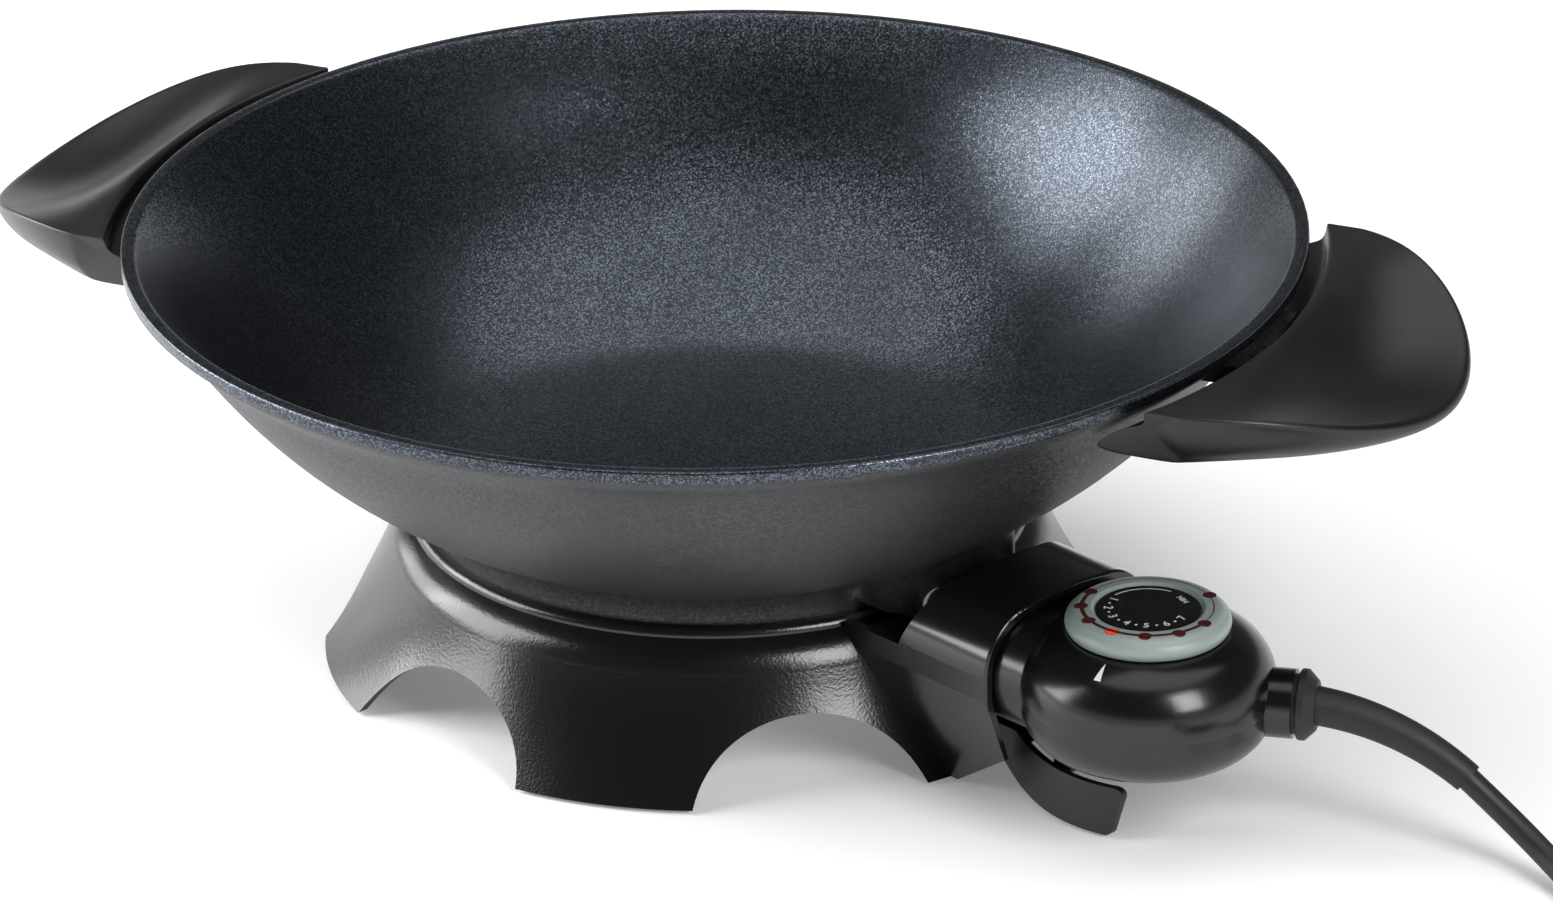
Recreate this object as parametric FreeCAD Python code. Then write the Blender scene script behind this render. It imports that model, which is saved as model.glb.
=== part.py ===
"""Electric wok: cast bowl with a cast-in element, plastic ring base with a bridge, and a plug-in dial control.

Millimetres. Z is up from the table, the origin is on the table under the middle of the bowl, and the control
points along -Y. Each sub-part is written to parts/NAME.step.
"""
import FreeCAD, Part
import math
import os
from FreeCAD import Vector as V

os.makedirs("parts", exist_ok=True)

# ---------------------------------------------------------------- driving dimensions
# Bowl
rim_radius = 177.5           # outside of the rim
rim_height = 135.6           # top of the rim above the table
rim_face = 3.5               # upright face round the rim
rim_land = 4.0               # flat on top of the rim
lip_run = 12.0               # how far the flared lip stands out past the bowl's curve
lip_rise = 10.6              # how high the flared lip climbs
bowl_wall = 4.0
bowl_bulge = 7.2             # how far the wall curves out past a straight line
foot_radius = 91.0           # outside of the foot ring
foot_ring_height = 8.3
foot_ring_wall = 6.2
foot_draft = 0.5             # how much the foot ring narrows to its lower edge
bowl_floor_thickness = 6.5
bowl_floor_gap = 4.3         # underside of the floor above the foot ring's lower edge
floor_blend_radius = 60.0    # curve from the flat floor into the wall

# Base
seat_height = 46.7           # where the foot ring stands on the base
shoulder_radius = 94.0
shoulder_drop = 2.8          # rounded edge of the seat
knee_radius = 101.7
knee_height = 35.0
skirt_radius = 121.5         # outside of the feet at the table
skirt_lift = 1.2             # feet stand this much on their rubber pads
base_wall = 2.6
deck_opening_radius = 70.0
arch_count = 6
arch_half_width = 35.5
arch_height = 23.8
pad_circle = 110.0           # rubber pads, one inside each foot
pad_radius = 5.0
pad_height = 5.0
pad_stem_radius = 2.4
pad_stem_height = 5.0
pad_post_radius = 5.5
pad_aside = 10.0             # the pad beside the lever, in degrees from the control's line
shield_radius = 84.0
shield_thickness = 0.8
shield_dish_radius = 62.0
shield_dish_depth = 5.0

# Bridge: the tunnel from the bowl to the control
bridge_half_width = 33.5
bridge_top_height = 65.4
bridge_crown = 1.2
bridge_corner = 18.0
bridge_foot_half_width = 19.5
bridge_waist_height = 40.0
bridge_reach = 149.0         # mouth of the bridge from the bowl's axis
bridge_start = 90.0
hood_start = 112.5           # inner end of the bridge's raised hood; a deck leads from there to the seat
hood_lean = 9.0              # its top starts this much further out
deck_slot_half_width = 31.0
deck_slot_reach = 101.6
mouth_undercut_height = 19.0
mouth_undercut_depth = 28.0
mouth_edge_round = 1.0
bridge_bowl_gap = 1.5

# Socket in the bowl's boss
plug_height = 52.3
boss_half_width = 26.0
boss_front = 108.0
boss_corner = 12.0
boss_lift = 3.3              # underside of the boss above the seat's height
boss_keel_half_width = 19.5
boss_keel_lift = 0.4
boss_rise = 10.0             # top of the boss above the cooking floor, inside the bowl's wall
well_half_width = 11.0
well_depth = 64.0            # inner end of the probe's well from the bowl's axis
element_radius = 62.0
element_tube_radius = 3.5
element_bend_radius = 9.0
pin_spread = 14.0            # each contact pin from the middle
pin_radius = 2.0
pin_length = 20.0
bead_radius = 4.2
bead_length = 6.0
probe_radius = 2.75
running_gap = 0.45           # between a plugged-in piece and its socket
screw_radius = 2.0
screw_circle = 77.0
screw_angles = (90, 210, 330)
screw_depth = 6.5

# Handles
handle_turn = 22.8           # the handles' line from the control's line, in degrees
handle_rim_gap = 5.4         # channel between the rim and a handle's ridge
handle_bowl_gap = 0.9        # between a handle and the bowl's wall and lip
handle_half_span = 74.0
handle_length = 57.5         # how far a handle stands out past the rim
handle_drop = 1.8            # ridge of a handle below the rim's top
handle_depth = 17.5          # ridge to underside, next to the bowl
handle_tip_drop = 14.5       # top of the tip's middle below the ridge
handle_tip_depth = 6.8       # thickness of the tip's middle
handle_edge_round = 2.6      # upper edge of the tip
handle_edge_ease = 1.6       # lower edge of the tip
channel_depth = 4.6
lug_half_width = 22.0
lug_thickness = 6.0
lug_drop = 8.0               # top of a cast tongue below the rim's top
lug_overhang = 16.0          # how far a tongue stands out past the rim
lug_gap = 0.3
handle_screw_spread = 12.0
handle_screw_overhang = 9.0
handle_screw_seat = 2.5      # floor of the handle under its screws' heads

# Control
neck_half_width = 30.4
neck_height = 34.2
neck_corner = 16.0
neck_middle = 45.4
neck_front = 127.0
control_place = 181.6        # middle of the control's body from the bowl's axis
body_radius = 37.0
body_top_radius = 24.5
body_top = 64.2
body_bottom = 27.2
body_bottom_radius = 21.5
parting_height = 42.0
exit_height = 44.0
control_wall = 2.2
exit_turn = 34.0             # lead outlet from the control's line, in degrees
exit_radius = 10.2
exit_reach = 43.0
exit_blend_radius = 23.0
exit_blend_start = 21.0
nose_half_width = 19.6
nose_half_height = 5.2
nose_front = 109.8
nose_back = 135.0

# Dial
dial_radius = 24.1
dial_lift = 0.4              # dial above the control's top
dial_height = 6.4
dial_disc_radius = 15.4
dial_disc_gap = 0.1
window_radius = 19.3         # circle on which the windows lie
window_size = 2.0
window_angles = (103.6, 133.1, 162.6, 192.1, 221.6, 251.1, 280.6, 338.6)
pointer_angle = 192.6
spindle_radius = 3.0

# Lead
cord_radius = 3.6
flange_radius = 10.4
flange_thickness = 6.5
flange_taper = 3.0
sleeve_root_radius = 5.8
sleeve_tip_radius = 4.6
sleeve_length = 48.5
coil_turn_radius = 37.3
coil_width = 22.8
coil_height = 15.2
lay_height = cord_radius + 0.2   # middle of the lead where it lies on the table
lead_sink = 0.5              # how far inside the coil's outline its two ends run

# Release lever
lever_thickness = 2.0
lever_bottom = 1.2
lever_height = 15.8
lever_line = ((11.0, -101.0), (0.4, -123.0), (-10.6, -144.0), (-15.4, -163.0), (-14.0, -176.0), (-10.6, -184.5))
lever_tip_low = 180.0        # end of the blade's lower edge from the bowl's axis
lever_tip_high = 184.0
lever_swing = 12.0           # how far the lever turns, in degrees
lever_tip_round = 2.4
lever_pin_radius = 2.0
lever_hub_radius = 5.0
lever_slot_gap = 0.7
lever_web_thickness = 3.0
rest_half_width = 12.0       # tongue of the base under the control
rest_reach = 161.4
rest_rib_length = 6.2
rest_bottom = 14.2

UP = V(0, 0, 1)
OUT = V(0, -1, 0)            # the control's direction


# ---------------------------------------------------------------- small helpers
def save(shape, name):
    """Writes one sub-part and prints its size."""
    shape.exportStep("parts/" + name + ".step")
    box = shape.BoundBox
    print(f"{name:22s} solids {len(shape.Solids):2d} volume {shape.Volume:10.1f}"
          f" z {box.ZMin:6.1f} {box.ZMax:6.1f} valid {shape.isValid()}")


def group(solids):
    return Part.makeCompound(solids)


def line(a, b):
    return Part.LineSegment(a, b).toShape()


def arc(a, middle, b):
    return Part.Arc(a, middle, b).toShape()


def rz(radius, height):
    """A point of a turned profile."""
    return V(radius, 0, height)


def face_of(edges):
    return Part.Face(Part.Wire(Part.__sortEdges__(edges)))


def turned(face):
    """The solid that a profile sweeps about the Z axis."""
    return face.revolve(V(0, 0, 0), UP, 360)


def eased(face, distance):
    """A profile that runs past the axis, moved out (or in, below zero) by a distance and cut off at the axis."""
    half = face_of([line(rz(0, -500), rz(500, -500)), line(rz(500, -500), rz(500, 500)),
                    line(rz(500, 500), rz(0, 500)), line(rz(0, 500), rz(0, -500))])
    return face.makeOffset2D(distance).common(half).Faces[0]


def rod(radius, start, end):
    return Part.makeCylinder(radius, (end - start).Length, start, end - start)


def tube(outer, inner, start, end):
    return rod(outer, start, end).cut(rod(inner, start, end))


def block(x0, x1, y0, y1, z0, z1):
    return Part.makeBox(x1 - x0, y1 - y0, z1 - z0, V(x0, y0, z0))


def polar(radius, degrees, height=0.0):
    return V(radius * math.cos(math.radians(degrees)), radius * math.sin(math.radians(degrees)), height)


def along(degrees):
    """A level direction, turned from the control's direction towards +X."""
    return V(math.sin(math.radians(degrees)), -math.cos(math.radians(degrees)), 0)


def spun(shape, degrees):
    copy = shape.copy()
    copy.rotate(V(0, 0, 0), UP, degrees)
    return copy


def circle_through(a, b, c):
    """Centre and radius of the circle through three profile points."""
    curve = Part.Arc(a, b, c).toShape().Curve
    return curve.Center, curve.Radius


def oval(half_width, half_height, corner, y, middle):
    """A rounded oblong in an upright plane across the control's line."""
    side = half_width - corner
    rise = half_height - corner
    points = [V(side, y, middle + half_height), V(-side, y, middle + half_height),
              V(-half_width, y, middle + rise), V(-half_width, y, middle - rise),
              V(-side, y, middle - half_height), V(side, y, middle - half_height),
              V(half_width, y, middle - rise), V(half_width, y, middle + rise)]
    slant = corner * math.sqrt(0.5)
    corners = [V(-side - slant, y, middle + rise + slant), V(-side - slant, y, middle - rise - slant),
               V(side + slant, y, middle - rise - slant), V(side + slant, y, middle + rise + slant)]
    edges = [line(points[0], points[1]), arc(points[1], corners[0], points[2]),
             arc(points[3], corners[1], points[4]), line(points[4], points[5]),
             arc(points[5], corners[2], points[6]), arc(points[7], corners[3], points[0])]
    if rise > 0.01:
        edges += [line(points[2], points[3]), line(points[6], points[7])]
    return face_of(edges)


# ---------------------------------------------------------------- bowl
lip_radius = rim_radius - lip_run
lip_height = rim_height - rim_face - lip_rise
foot_meets_bowl = seat_height + foot_ring_height
underside_height = seat_height + bowl_floor_gap
floor_height = underside_height + bowl_floor_thickness

wall_start = rz(foot_radius, foot_meets_bowl)
wall_end = rz(lip_radius, lip_height)
wall_chord = wall_end - wall_start
wall_side = V(wall_chord.z, 0, -wall_chord.x).normalize()
wall_middle = (wall_start + wall_end) * 0.5 + wall_side * bowl_bulge
bowl_centre, bowl_curve = circle_through(wall_start, wall_middle, wall_end)


def bowl_outside():
    """Profile of the bowl filled to its axis, up to the rim."""
    top = rim_height - rim_face
    return face_of([
        line(rz(0, seat_height), rz(foot_radius - foot_draft, seat_height)),
        line(rz(foot_radius - foot_draft, seat_height), wall_start),
        arc(wall_start, wall_middle, wall_end),
        line(wall_end, rz(rim_radius, top)),
        line(rz(rim_radius, top), rz(rim_radius, rim_height)),
        line(rz(rim_radius, rim_height), rz(0, rim_height)),
        line(rz(0, rim_height), rz(0, seat_height))])


def bowl_inside():
    """Profile of the cooking space: flat floor, blend, wall and flared lip."""
    inner_curve = bowl_curve - bowl_wall
    blend_height = floor_height + floor_blend_radius
    reach = inner_curve - floor_blend_radius
    blend_out = math.sqrt(reach ** 2 - (blend_height - bowl_centre.z) ** 2)
    blend_centre = V(bowl_centre.x + blend_out, 0, blend_height)
    floor_edge = rz(blend_centre.x, floor_height)
    leave = (blend_centre - bowl_centre).normalize()
    blend_end = bowl_centre + leave * inner_curve
    lip_way = (wall_end - bowl_centre).normalize()
    lip_start = bowl_centre + lip_way * inner_curve
    blend_half = (V(0, 0, -1) + leave).normalize()
    wall_half = (leave + lip_way).normalize()
    rim_edge = rz(rim_radius - rim_land, rim_height)
    top = rz(0, rim_height + 1)
    return face_of([
        line(rz(0, floor_height), floor_edge),
        arc(floor_edge, blend_centre + blend_half * floor_blend_radius, blend_end),
        arc(blend_end, bowl_centre + wall_half * inner_curve, lip_start),
        line(lip_start, rim_edge),
        line(rim_edge, rz(rim_radius - rim_land, rim_height + 1)),
        line(rz(rim_radius - rim_land, rim_height + 1), top),
        line(top, rz(0, floor_height))])


def bowl_room(gap):
    """Profile of the room that the bowl's foot and wall need, with a gap all round."""
    grown = bowl_curve + gap
    side = foot_radius + gap
    start = rz(side, bowl_centre.z - math.sqrt(grown ** 2 - (side - bowl_centre.x) ** 2))
    end = bowl_centre + (wall_end - bowl_centre).normalize() * grown
    middle = bowl_centre + (wall_middle - bowl_centre).normalize() * grown
    return face_of([line(rz(0, seat_height), rz(side, seat_height)), line(rz(side, seat_height), start),
                    arc(start, middle, end), line(end, rz(0, end.z)), line(rz(0, end.z), rz(0, seat_height))])


bowl_solid = turned(bowl_outside())
cooking_space = turned(bowl_inside())

def element_path():
    """Ring with a gap at the control's side, and a leg out of each end."""
    centre = V(pin_spread + element_bend_radius, 0, plug_height)
    spread = element_radius + element_bend_radius
    centre.y = -math.sqrt(spread ** 2 - centre.x ** 2)
    leave = V(centre.x, centre.y, 0) * (element_radius / spread)
    ring_end = V(leave.x, leave.y, plug_height)
    leg_start = V(pin_spread, centre.y, plug_height)
    half = ((ring_end - centre).normalize() + (leg_start - centre).normalize()).normalize()
    bend = arc(leg_start, centre + half * element_bend_radius, ring_end)
    leg = line(V(pin_spread, -boss_front + bead_length, plug_height), leg_start)
    across = V(1, 0, 0)
    other_bend = bend.mirror(V(0, 0, 0), across)
    other_leg = leg.mirror(V(0, 0, 0), across)
    ring = arc(ring_end, V(0, element_radius, plug_height), V(-ring_end.x, ring_end.y, plug_height))
    return Part.Wire(Part.__sortEdges__([leg, bend, ring, other_bend, other_leg]))


def heating_element():
    path = element_path()
    start = V(pin_spread, -boss_front + bead_length, plug_height)
    section = Part.Wire(Part.makeCircle(element_tube_radius, start, V(0, 1, 0)))
    return path.makePipeShell([section], True, True)


def boss():
    """Cast block under the bowl that holds the element's ends and the probe's well."""
    inner = -foot_radius + foot_ring_wall
    front = block(-boss_half_width, boss_half_width, -boss_front, inner, seat_height + boss_lift,
                  floor_height + boss_rise)
    well = block(-well_half_width, well_half_width, -foot_radius + 1, -well_depth, seat_height, floor_height - 1)
    corners = [e for e in front.Edges if abs(e.tangentAt(e.FirstParameter).z) > 0.9
               and e.BoundBox.YMin < -boss_front + 1]
    keel = block(-boss_keel_half_width, boss_keel_half_width, -boss_front + 1.5, inner, seat_height + boss_keel_lift,
                 plug_height)
    return front.makeFillet(boss_corner, corners).fuse([well, keel])


lug_top = rim_height - lug_drop
lug_reach = rim_radius + lug_overhang
handle_screw_place = rim_radius + handle_screw_overhang


def handle_lugs():
    """Two cast tongues under the rim that the handles are screwed to."""
    tongue = block(-lug_half_width, lug_half_width, -lug_reach, -lip_radius + 4, lug_top - lug_thickness, lug_top)
    tongue = tongue.makeFillet(5, [e for e in tongue.Edges if abs(e.tangentAt(e.FirstParameter).z) > 0.9
                                   and e.BoundBox.YMax < -lug_reach + 1])
    for side in (-1, 1):
        place = V(side * handle_screw_spread, -handle_screw_place, lug_top - lug_thickness - 1)
        tongue = tongue.cut(rod(screw_radius, place, place + UP * (lug_thickness + 2)))
    return [spun(tongue, handle_turn), spun(tongue, handle_turn + 180)]


def pan_bowl():
    hollow = turned(face_of([
        line(rz(0, seat_height - 1), rz(foot_radius - foot_ring_wall, seat_height - 1)),
        line(rz(foot_radius - foot_ring_wall, seat_height - 1), rz(foot_radius - foot_ring_wall, underside_height)),
        line(rz(foot_radius - foot_ring_wall, underside_height), rz(0, underside_height)),
        line(rz(0, underside_height), rz(0, seat_height - 1))]))
    cast = bowl_solid.cut(hollow)
    posts = [rod(6.5, polar(screw_circle, a, seat_height), polar(screw_circle, a, floor_height - 1))
             for a in screw_angles]
    cast = cast.fuse([boss()] + posts + handle_lugs()).cut(cooking_space)
    bores = [rod(screw_radius, polar(screw_circle, a, seat_height - 1), polar(screw_circle, a, seat_height + screw_depth))
             for a in screw_angles]
    front = V(0, -boss_front - 1, plug_height)
    bores.append(rod(probe_radius + running_gap, front, V(0, -well_depth - 6, plug_height)))
    for side in (-1, 1):
        face = V(side * pin_spread, -boss_front - 1, plug_height)
        bores.append(rod(bead_radius, face, face + V(0, bead_length + 1, 0)))
    return cast.cut(bores + [heating_element()]).removeSplitter()


# ---------------------------------------------------------------- socket
def terminal_pins():
    pins = []
    for side in (-1, 1):
        start = V(side * pin_spread, -boss_front + bead_length, plug_height)
        pin = rod(pin_radius, start, start + OUT * pin_length)
        pins.append(pin.makeChamfer(0.6, [e for e in pin.Edges if e.BoundBox.YMax < start.y - pin_length + 0.1]))
    return group(pins)


def terminal_beads():
    beads = []
    for side in (-1, 1):
        start = V(side * pin_spread, -boss_front + bead_length, plug_height)
        beads.append(tube(bead_radius, pin_radius, start, start + OUT * (bead_length + 1.5)))
    return group(beads)


# ---------------------------------------------------------------- handles
ridge_height = rim_height - handle_drop
handle_bottom = ridge_height - handle_depth
tip_bottom = ridge_height - handle_tip_drop - handle_tip_depth


upper_shares = ((1.0, 0.10), (0.975, 0.24), (0.86, 0.54), (0.62, 0.765), (0.31, 0.935), (0.0, 1.0))
lower_shares = ((0.9, 0.08), (0.84, 0.20), (0.62, 0.40), (0.49, 0.68), (0.33, 0.93), (0.0, 1.0))


def handle_outline(height, end_inset, tip_inset, inside, shares):
    """Outline of a handle at one height, seen from above, before it is turned to its place."""
    half = handle_half_span - end_inset
    length = handle_length - tip_inset
    points = [V(half * across, -rim_radius - length * out, height) for across, out in shares]
    root = V(points[0].x, -math.sqrt(inside ** 2 - points[0].x ** 2), height)
    right = Part.BSplineCurve()
    right.interpolate(points, InitialTangent=V(0, -1, 0), FinalTangent=V(-1, 0, 0))
    outer = right.toShape()
    mirrored = outer.mirror(V(0, 0, 0), V(1, 0, 0))
    ends = [line(root, points[0]), line(V(-root.x, root.y, height), V(-points[0].x, points[0].y, height))]
    bowl_side = arc(V(-root.x, root.y, height), V(0, -inside, height), root)
    return Part.Wire(Part.__sortEdges__([outer, mirrored, bowl_side] + ends))


def room_above_handle():
    """What lies over the dished top: it is high along the rim and at both ends, and low in the tip's middle."""
    rows = []
    for k in range(15):
        out = -50 + k * (handle_length + 64) / 14
        share = min(max((out - 5) / (handle_length - 5), 0), 1) ** 0.8
        row = []
        for j in range(-7, 8):
            across = j * (handle_half_span + 14) / 7
            ease = min(max((abs(across) / handle_half_span - 0.11) / 0.76, 0), 1)
            hold = 1 - 0.7 * ease ** 2 * (3 - 2 * ease)
            drop = handle_tip_drop * share ** 2 * (3 - 2 * share) * hold
            row.append(V(across, -rim_radius - out, ridge_height - drop))
        rows.append(row)
    top = Part.BSplineSurface()
    top.interpolate(rows)
    return top.toShape().extrude(UP * 40)


def room_below_handle():
    y_in = -rim_radius + 40
    y_root = -rim_radius - 0.22 * handle_length
    y_tip = -rim_radius - handle_length - 8
    return face_of([
        line(V(-120, y_in, handle_bottom), V(-120, y_root, handle_bottom)),
        line(V(-120, y_root, handle_bottom), V(-120, y_tip, tip_bottom)),
        line(V(-120, y_tip, tip_bottom), V(-120, y_tip, tip_bottom - 40)),
        line(V(-120, y_tip, tip_bottom - 40), V(-120, y_in, tip_bottom - 40)),
        line(V(-120, y_in, tip_bottom - 40), V(-120, y_in, handle_bottom))]).extrude(V(240, 0, 0))


def room_for_rim():
    """The bowl's wall, lip and rim with their gaps, and the channel between the rim and the ridge."""
    grown = bowl_curve + handle_bowl_gap
    low = lip_height - 30
    start = rz(bowl_centre.x + math.sqrt(grown ** 2 - (low - bowl_centre.z) ** 2), low)
    end = bowl_centre + (wall_end - bowl_centre).normalize() * grown
    middle_height = (low + end.z) / 2
    middle = rz(bowl_centre.x + math.sqrt(grown ** 2 - (middle_height - bowl_centre.z) ** 2), middle_height)
    lip_side = V(lip_rise, 0, -lip_run).normalize() * handle_bowl_gap
    floor = rz(rim_radius - 2.2, rim_height - rim_face - 2.2 * lip_rise / lip_run) + lip_side
    edge = rz(rim_radius + handle_rim_gap, ridge_height - channel_depth + 2)
    top = rz(rim_radius + handle_rim_gap, rim_height + 20)
    return turned(face_of([
        line(rz(0, low), start), arc(start, middle, end), line(end, floor), line(floor, edge), line(edge, top),
        line(top, rz(0, rim_height + 20)), line(rz(0, rim_height + 20), rz(0, low))]))


def handle():
    """A dished ear of moulded phenolic, hollow only where the bowl's tongue enters it."""
    body = Part.makeLoft([
        handle_outline(handle_bottom - 7, 4, 3, rim_radius - 1, lower_shares),
        handle_outline(handle_bottom + 1.2, 0, 0, rim_radius - 2, lower_shares),
        handle_outline(ridge_height - 6, 0, 0.5, rim_radius - 15, upper_shares),
        handle_outline(ridge_height + 4, 1.5, 3.5, rim_radius - 15, upper_shares)], True, False)
    body = body.cut([room_above_handle(), room_below_handle()])
    for round_radius, side in ((handle_edge_round, 1), (handle_edge_ease, -1)):
        edges = [e for e in body.Edges if e.BoundBox.YMin < -rim_radius - 0.5 * handle_length
                 and e.BoundBox.XLength > 20]
        middle = sum(e.CenterOfMass.z for e in edges) / len(edges)
        body = body.makeFillet(round_radius, [e for e in edges if (e.CenterOfMass.z - middle) * side > 0])
    body = body.cut(room_for_rim())
    pocket = block(-lug_half_width - lug_gap, lug_half_width + lug_gap, -lug_reach - lug_gap, -rim_radius + 25,
                   lug_top - lug_thickness - lug_gap, lug_top)
    body = body.cut(pocket)
    for side in (-1, 1):
        place = V(side * handle_screw_spread, -handle_screw_place, handle_bottom - 5)
        seat = lug_top - lug_thickness - handle_screw_seat
        body = body.cut(rod(screw_radius, place, V(place.x, place.y, lug_top + 3)))
        body = body.cut(rod(4.2, place, V(place.x, place.y, seat)))
    return body


def handle_screw(turn):
    screws = []
    for side in (-1, 1):
        head = V(side * handle_screw_spread, -handle_screw_place, lug_top - lug_thickness - handle_screw_seat)
        shank = head + UP * (handle_screw_seat + lug_thickness + 2.5)
        screw = rod(4.0, head - UP * 2.2, head).fuse(rod(screw_radius, head, shank)).removeSplitter()
        screws.append(spun(screw, turn))
    return screws


# ---------------------------------------------------------------- base
skirt_round = V(shoulder_radius - 0.8, 0, seat_height - 0.9)
skirt_middle = rz((knee_radius + skirt_radius) / 2 - 1.4, (knee_height + skirt_lift) / 2 - 0.7)
shoulder_middle = rz((shoulder_radius + knee_radius) / 2 + 0.9, (seat_height - shoulder_drop + knee_height) / 2 + 0.9)


def skirt_outside(below=0.0, past=0.0):
    """Profile of the base filled to its axis, or past it, and going on straight down below the feet."""
    shoulder = rz(shoulder_radius, seat_height - shoulder_drop)
    seat_edge = rz(shoulder_radius - shoulder_drop, seat_height)
    knee = rz(knee_radius, knee_height)
    hem = rz(skirt_radius, skirt_lift)
    bottom = skirt_lift - below
    edges = [
        line(rz(-past, seat_height), seat_edge),
        arc(seat_edge, skirt_round, shoulder),
        arc(shoulder, shoulder_middle, knee),
        arc(knee, skirt_middle, hem),
        line(rz(skirt_radius, bottom), rz(-past, bottom)),
        line(rz(-past, bottom), rz(-past, seat_height))]
    if below > 0:
        edges.append(line(hem, rz(skirt_radius, bottom)))
    return face_of(edges)


def bridge_section(inset, y, bottom):
    """Cross-section of the bridge: upright sides that narrow to the foot, rounded top."""
    half = bridge_half_width - inset
    top = bridge_top_height - inset
    corner = bridge_corner - inset
    foot = bridge_foot_half_width - inset
    flat = half - corner
    slant = corner * math.sqrt(0.5)
    spring = top - corner
    right = [V(foot, y, bottom), V(half, y, bridge_waist_height), V(half, y, spring), V(flat, y, top)]
    left = [V(-p.x, y, p.z) for p in right]
    return face_of([
        line(right[0], right[1]), line(right[1], right[2]),
        arc(right[2], V(flat + slant, y, spring + slant), right[3]),
        arc(right[3], V(0, y, top + bridge_crown), left[3]),
        arc(left[3], V(-flat - slant, y, spring + slant), left[2]),
        line(left[2], left[1]), line(left[1], left[0]), line(left[0], right[0])])


def arch_cutter():
    """A round arch, pushed out from the axis."""
    half = arch_half_width
    spring = V(half, 0, skirt_lift)
    low = V(half, 0, -5)
    face = face_of([
        arc(spring, V(0, 0, arch_height), V(-half, 0, skirt_lift)),
        line(V(-half, 0, skirt_lift), V(-half, 0, -5)), line(V(-half, 0, -5), low), line(low, spring)])
    face.translate(V(0, -80, 0))
    return face.extrude(OUT * 60)


def base_shell():
    """Six-footed skirt, seat ring and bridge, moulded as one wall."""
    outside = turned(skirt_outside())
    inside = turned(eased(skirt_outside(30, 20), -base_wall))
    tunnel = bridge_section(0, -bridge_start, skirt_lift).extrude(OUT * (bridge_reach - bridge_start))
    mouth_edges = [e for e in tunnel.Edges if e.BoundBox.YMax < -bridge_reach + 0.1 and e.BoundBox.ZMin > 2]
    tunnel = tunnel.makeFillet(mouth_edge_round, mouth_edges)
    passage = bridge_section(base_wall, -bridge_start + 1, -5).extrude(OUT * (bridge_reach - bridge_start + 5))
    undercut = face_of([
        line(V(-60, -bridge_reach + mouth_undercut_depth, 0), V(-60, -bridge_reach, mouth_undercut_height)),
        line(V(-60, -bridge_reach, mouth_undercut_height), V(-60, -bridge_reach - 20, mouth_undercut_height)),
        line(V(-60, -bridge_reach - 20, mouth_undercut_height), V(-60, -bridge_reach - 20, -5)),
        line(V(-60, -bridge_reach - 20, -5), V(-60, -bridge_reach + mouth_undercut_depth, -5)),
        line(V(-60, -bridge_reach + mouth_undercut_depth, -5), V(-60, -bridge_reach + mouth_undercut_depth, 0))])
    deck_under = seat_height - base_wall
    deck = tunnel.common(block(-60, 60, -hood_start - base_wall, -bridge_start, deck_under, seat_height))
    top = bridge_top_height + 20
    top_lean = hood_lean * (top - seat_height) / (bridge_top_height - seat_height)
    open_end = face_of([
        line(V(-60, -hood_start, seat_height), V(-60, -hood_start - top_lean, top)),
        line(V(-60, -hood_start - top_lean, top), V(-60, 0, top)), line(V(-60, 0, top), V(-60, 0, seat_height)),
        line(V(-60, 0, seat_height), V(-60, -hood_start, seat_height))]).extrude(V(120, 0, 0))
    tunnel = tunnel.cut([passage, open_end, undercut.extrude(V(120, 0, 0)), inside])
    slot = tube(deck_slot_reach, foot_radius + 1.5, UP * (deck_under - 1), UP * (seat_height + 1)).common(
        block(-deck_slot_half_width, deck_slot_half_width, -bridge_reach, 0, 0, seat_height + 2))
    shell = outside.cut(inside).fuse([tunnel, deck]).cut(slot)
    bowl_clearance = turned(bowl_room(bridge_bowl_gap))
    boss_clearance = block(-boss_half_width - 0.8, boss_half_width + 0.8, -boss_front - 1.4, -80, seat_height,
                           bridge_top_height + 20)
    opening = rod(deck_opening_radius, V(0, 0, 30), V(0, 0, 60))
    lugs = [rod(11, polar(screw_circle, a, seat_height - base_wall), polar(screw_circle, a, seat_height))
            for a in screw_angles]
    screw_holes = [rod(screw_radius + 0.3, polar(screw_circle, a, 30), polar(screw_circle, a, 60))
                   for a in screw_angles]
    shell = shell.cut([bowl_clearance, boss_clearance, opening]).fuse(lugs)
    arch = arch_cutter()
    arches = [spun(arch, (k + 0.5) * 360 / arch_count) for k in range(arch_count)]
    shell = shell.cut(arches + screw_holes)
    shell = shell.fuse(foot_posts(inside) + [lever_bracket(inside), control_rest()])
    return shell.cut([lever_slot()] + pad_holes()).removeSplitter()


def pad_angles():
    """One pad in each foot; in the bridge's foot the lever's slot takes the middle, so its pad is moved aside."""
    angles = [-90 + k * 360 / arch_count for k in range(1, arch_count)]
    return angles + [-90 + pad_aside]


def foot_posts(inside):
    posts = [rod(pad_post_radius, polar(pad_circle, a, pad_height), polar(pad_circle, a, 34)) for a in pad_angles()]
    return [post.common(inside) for post in posts]


def pad_holes():
    return [rod(pad_stem_radius, polar(pad_circle, a, pad_height - 1), polar(pad_circle, a, pad_height + pad_stem_height))
            for a in pad_angles()]


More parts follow.
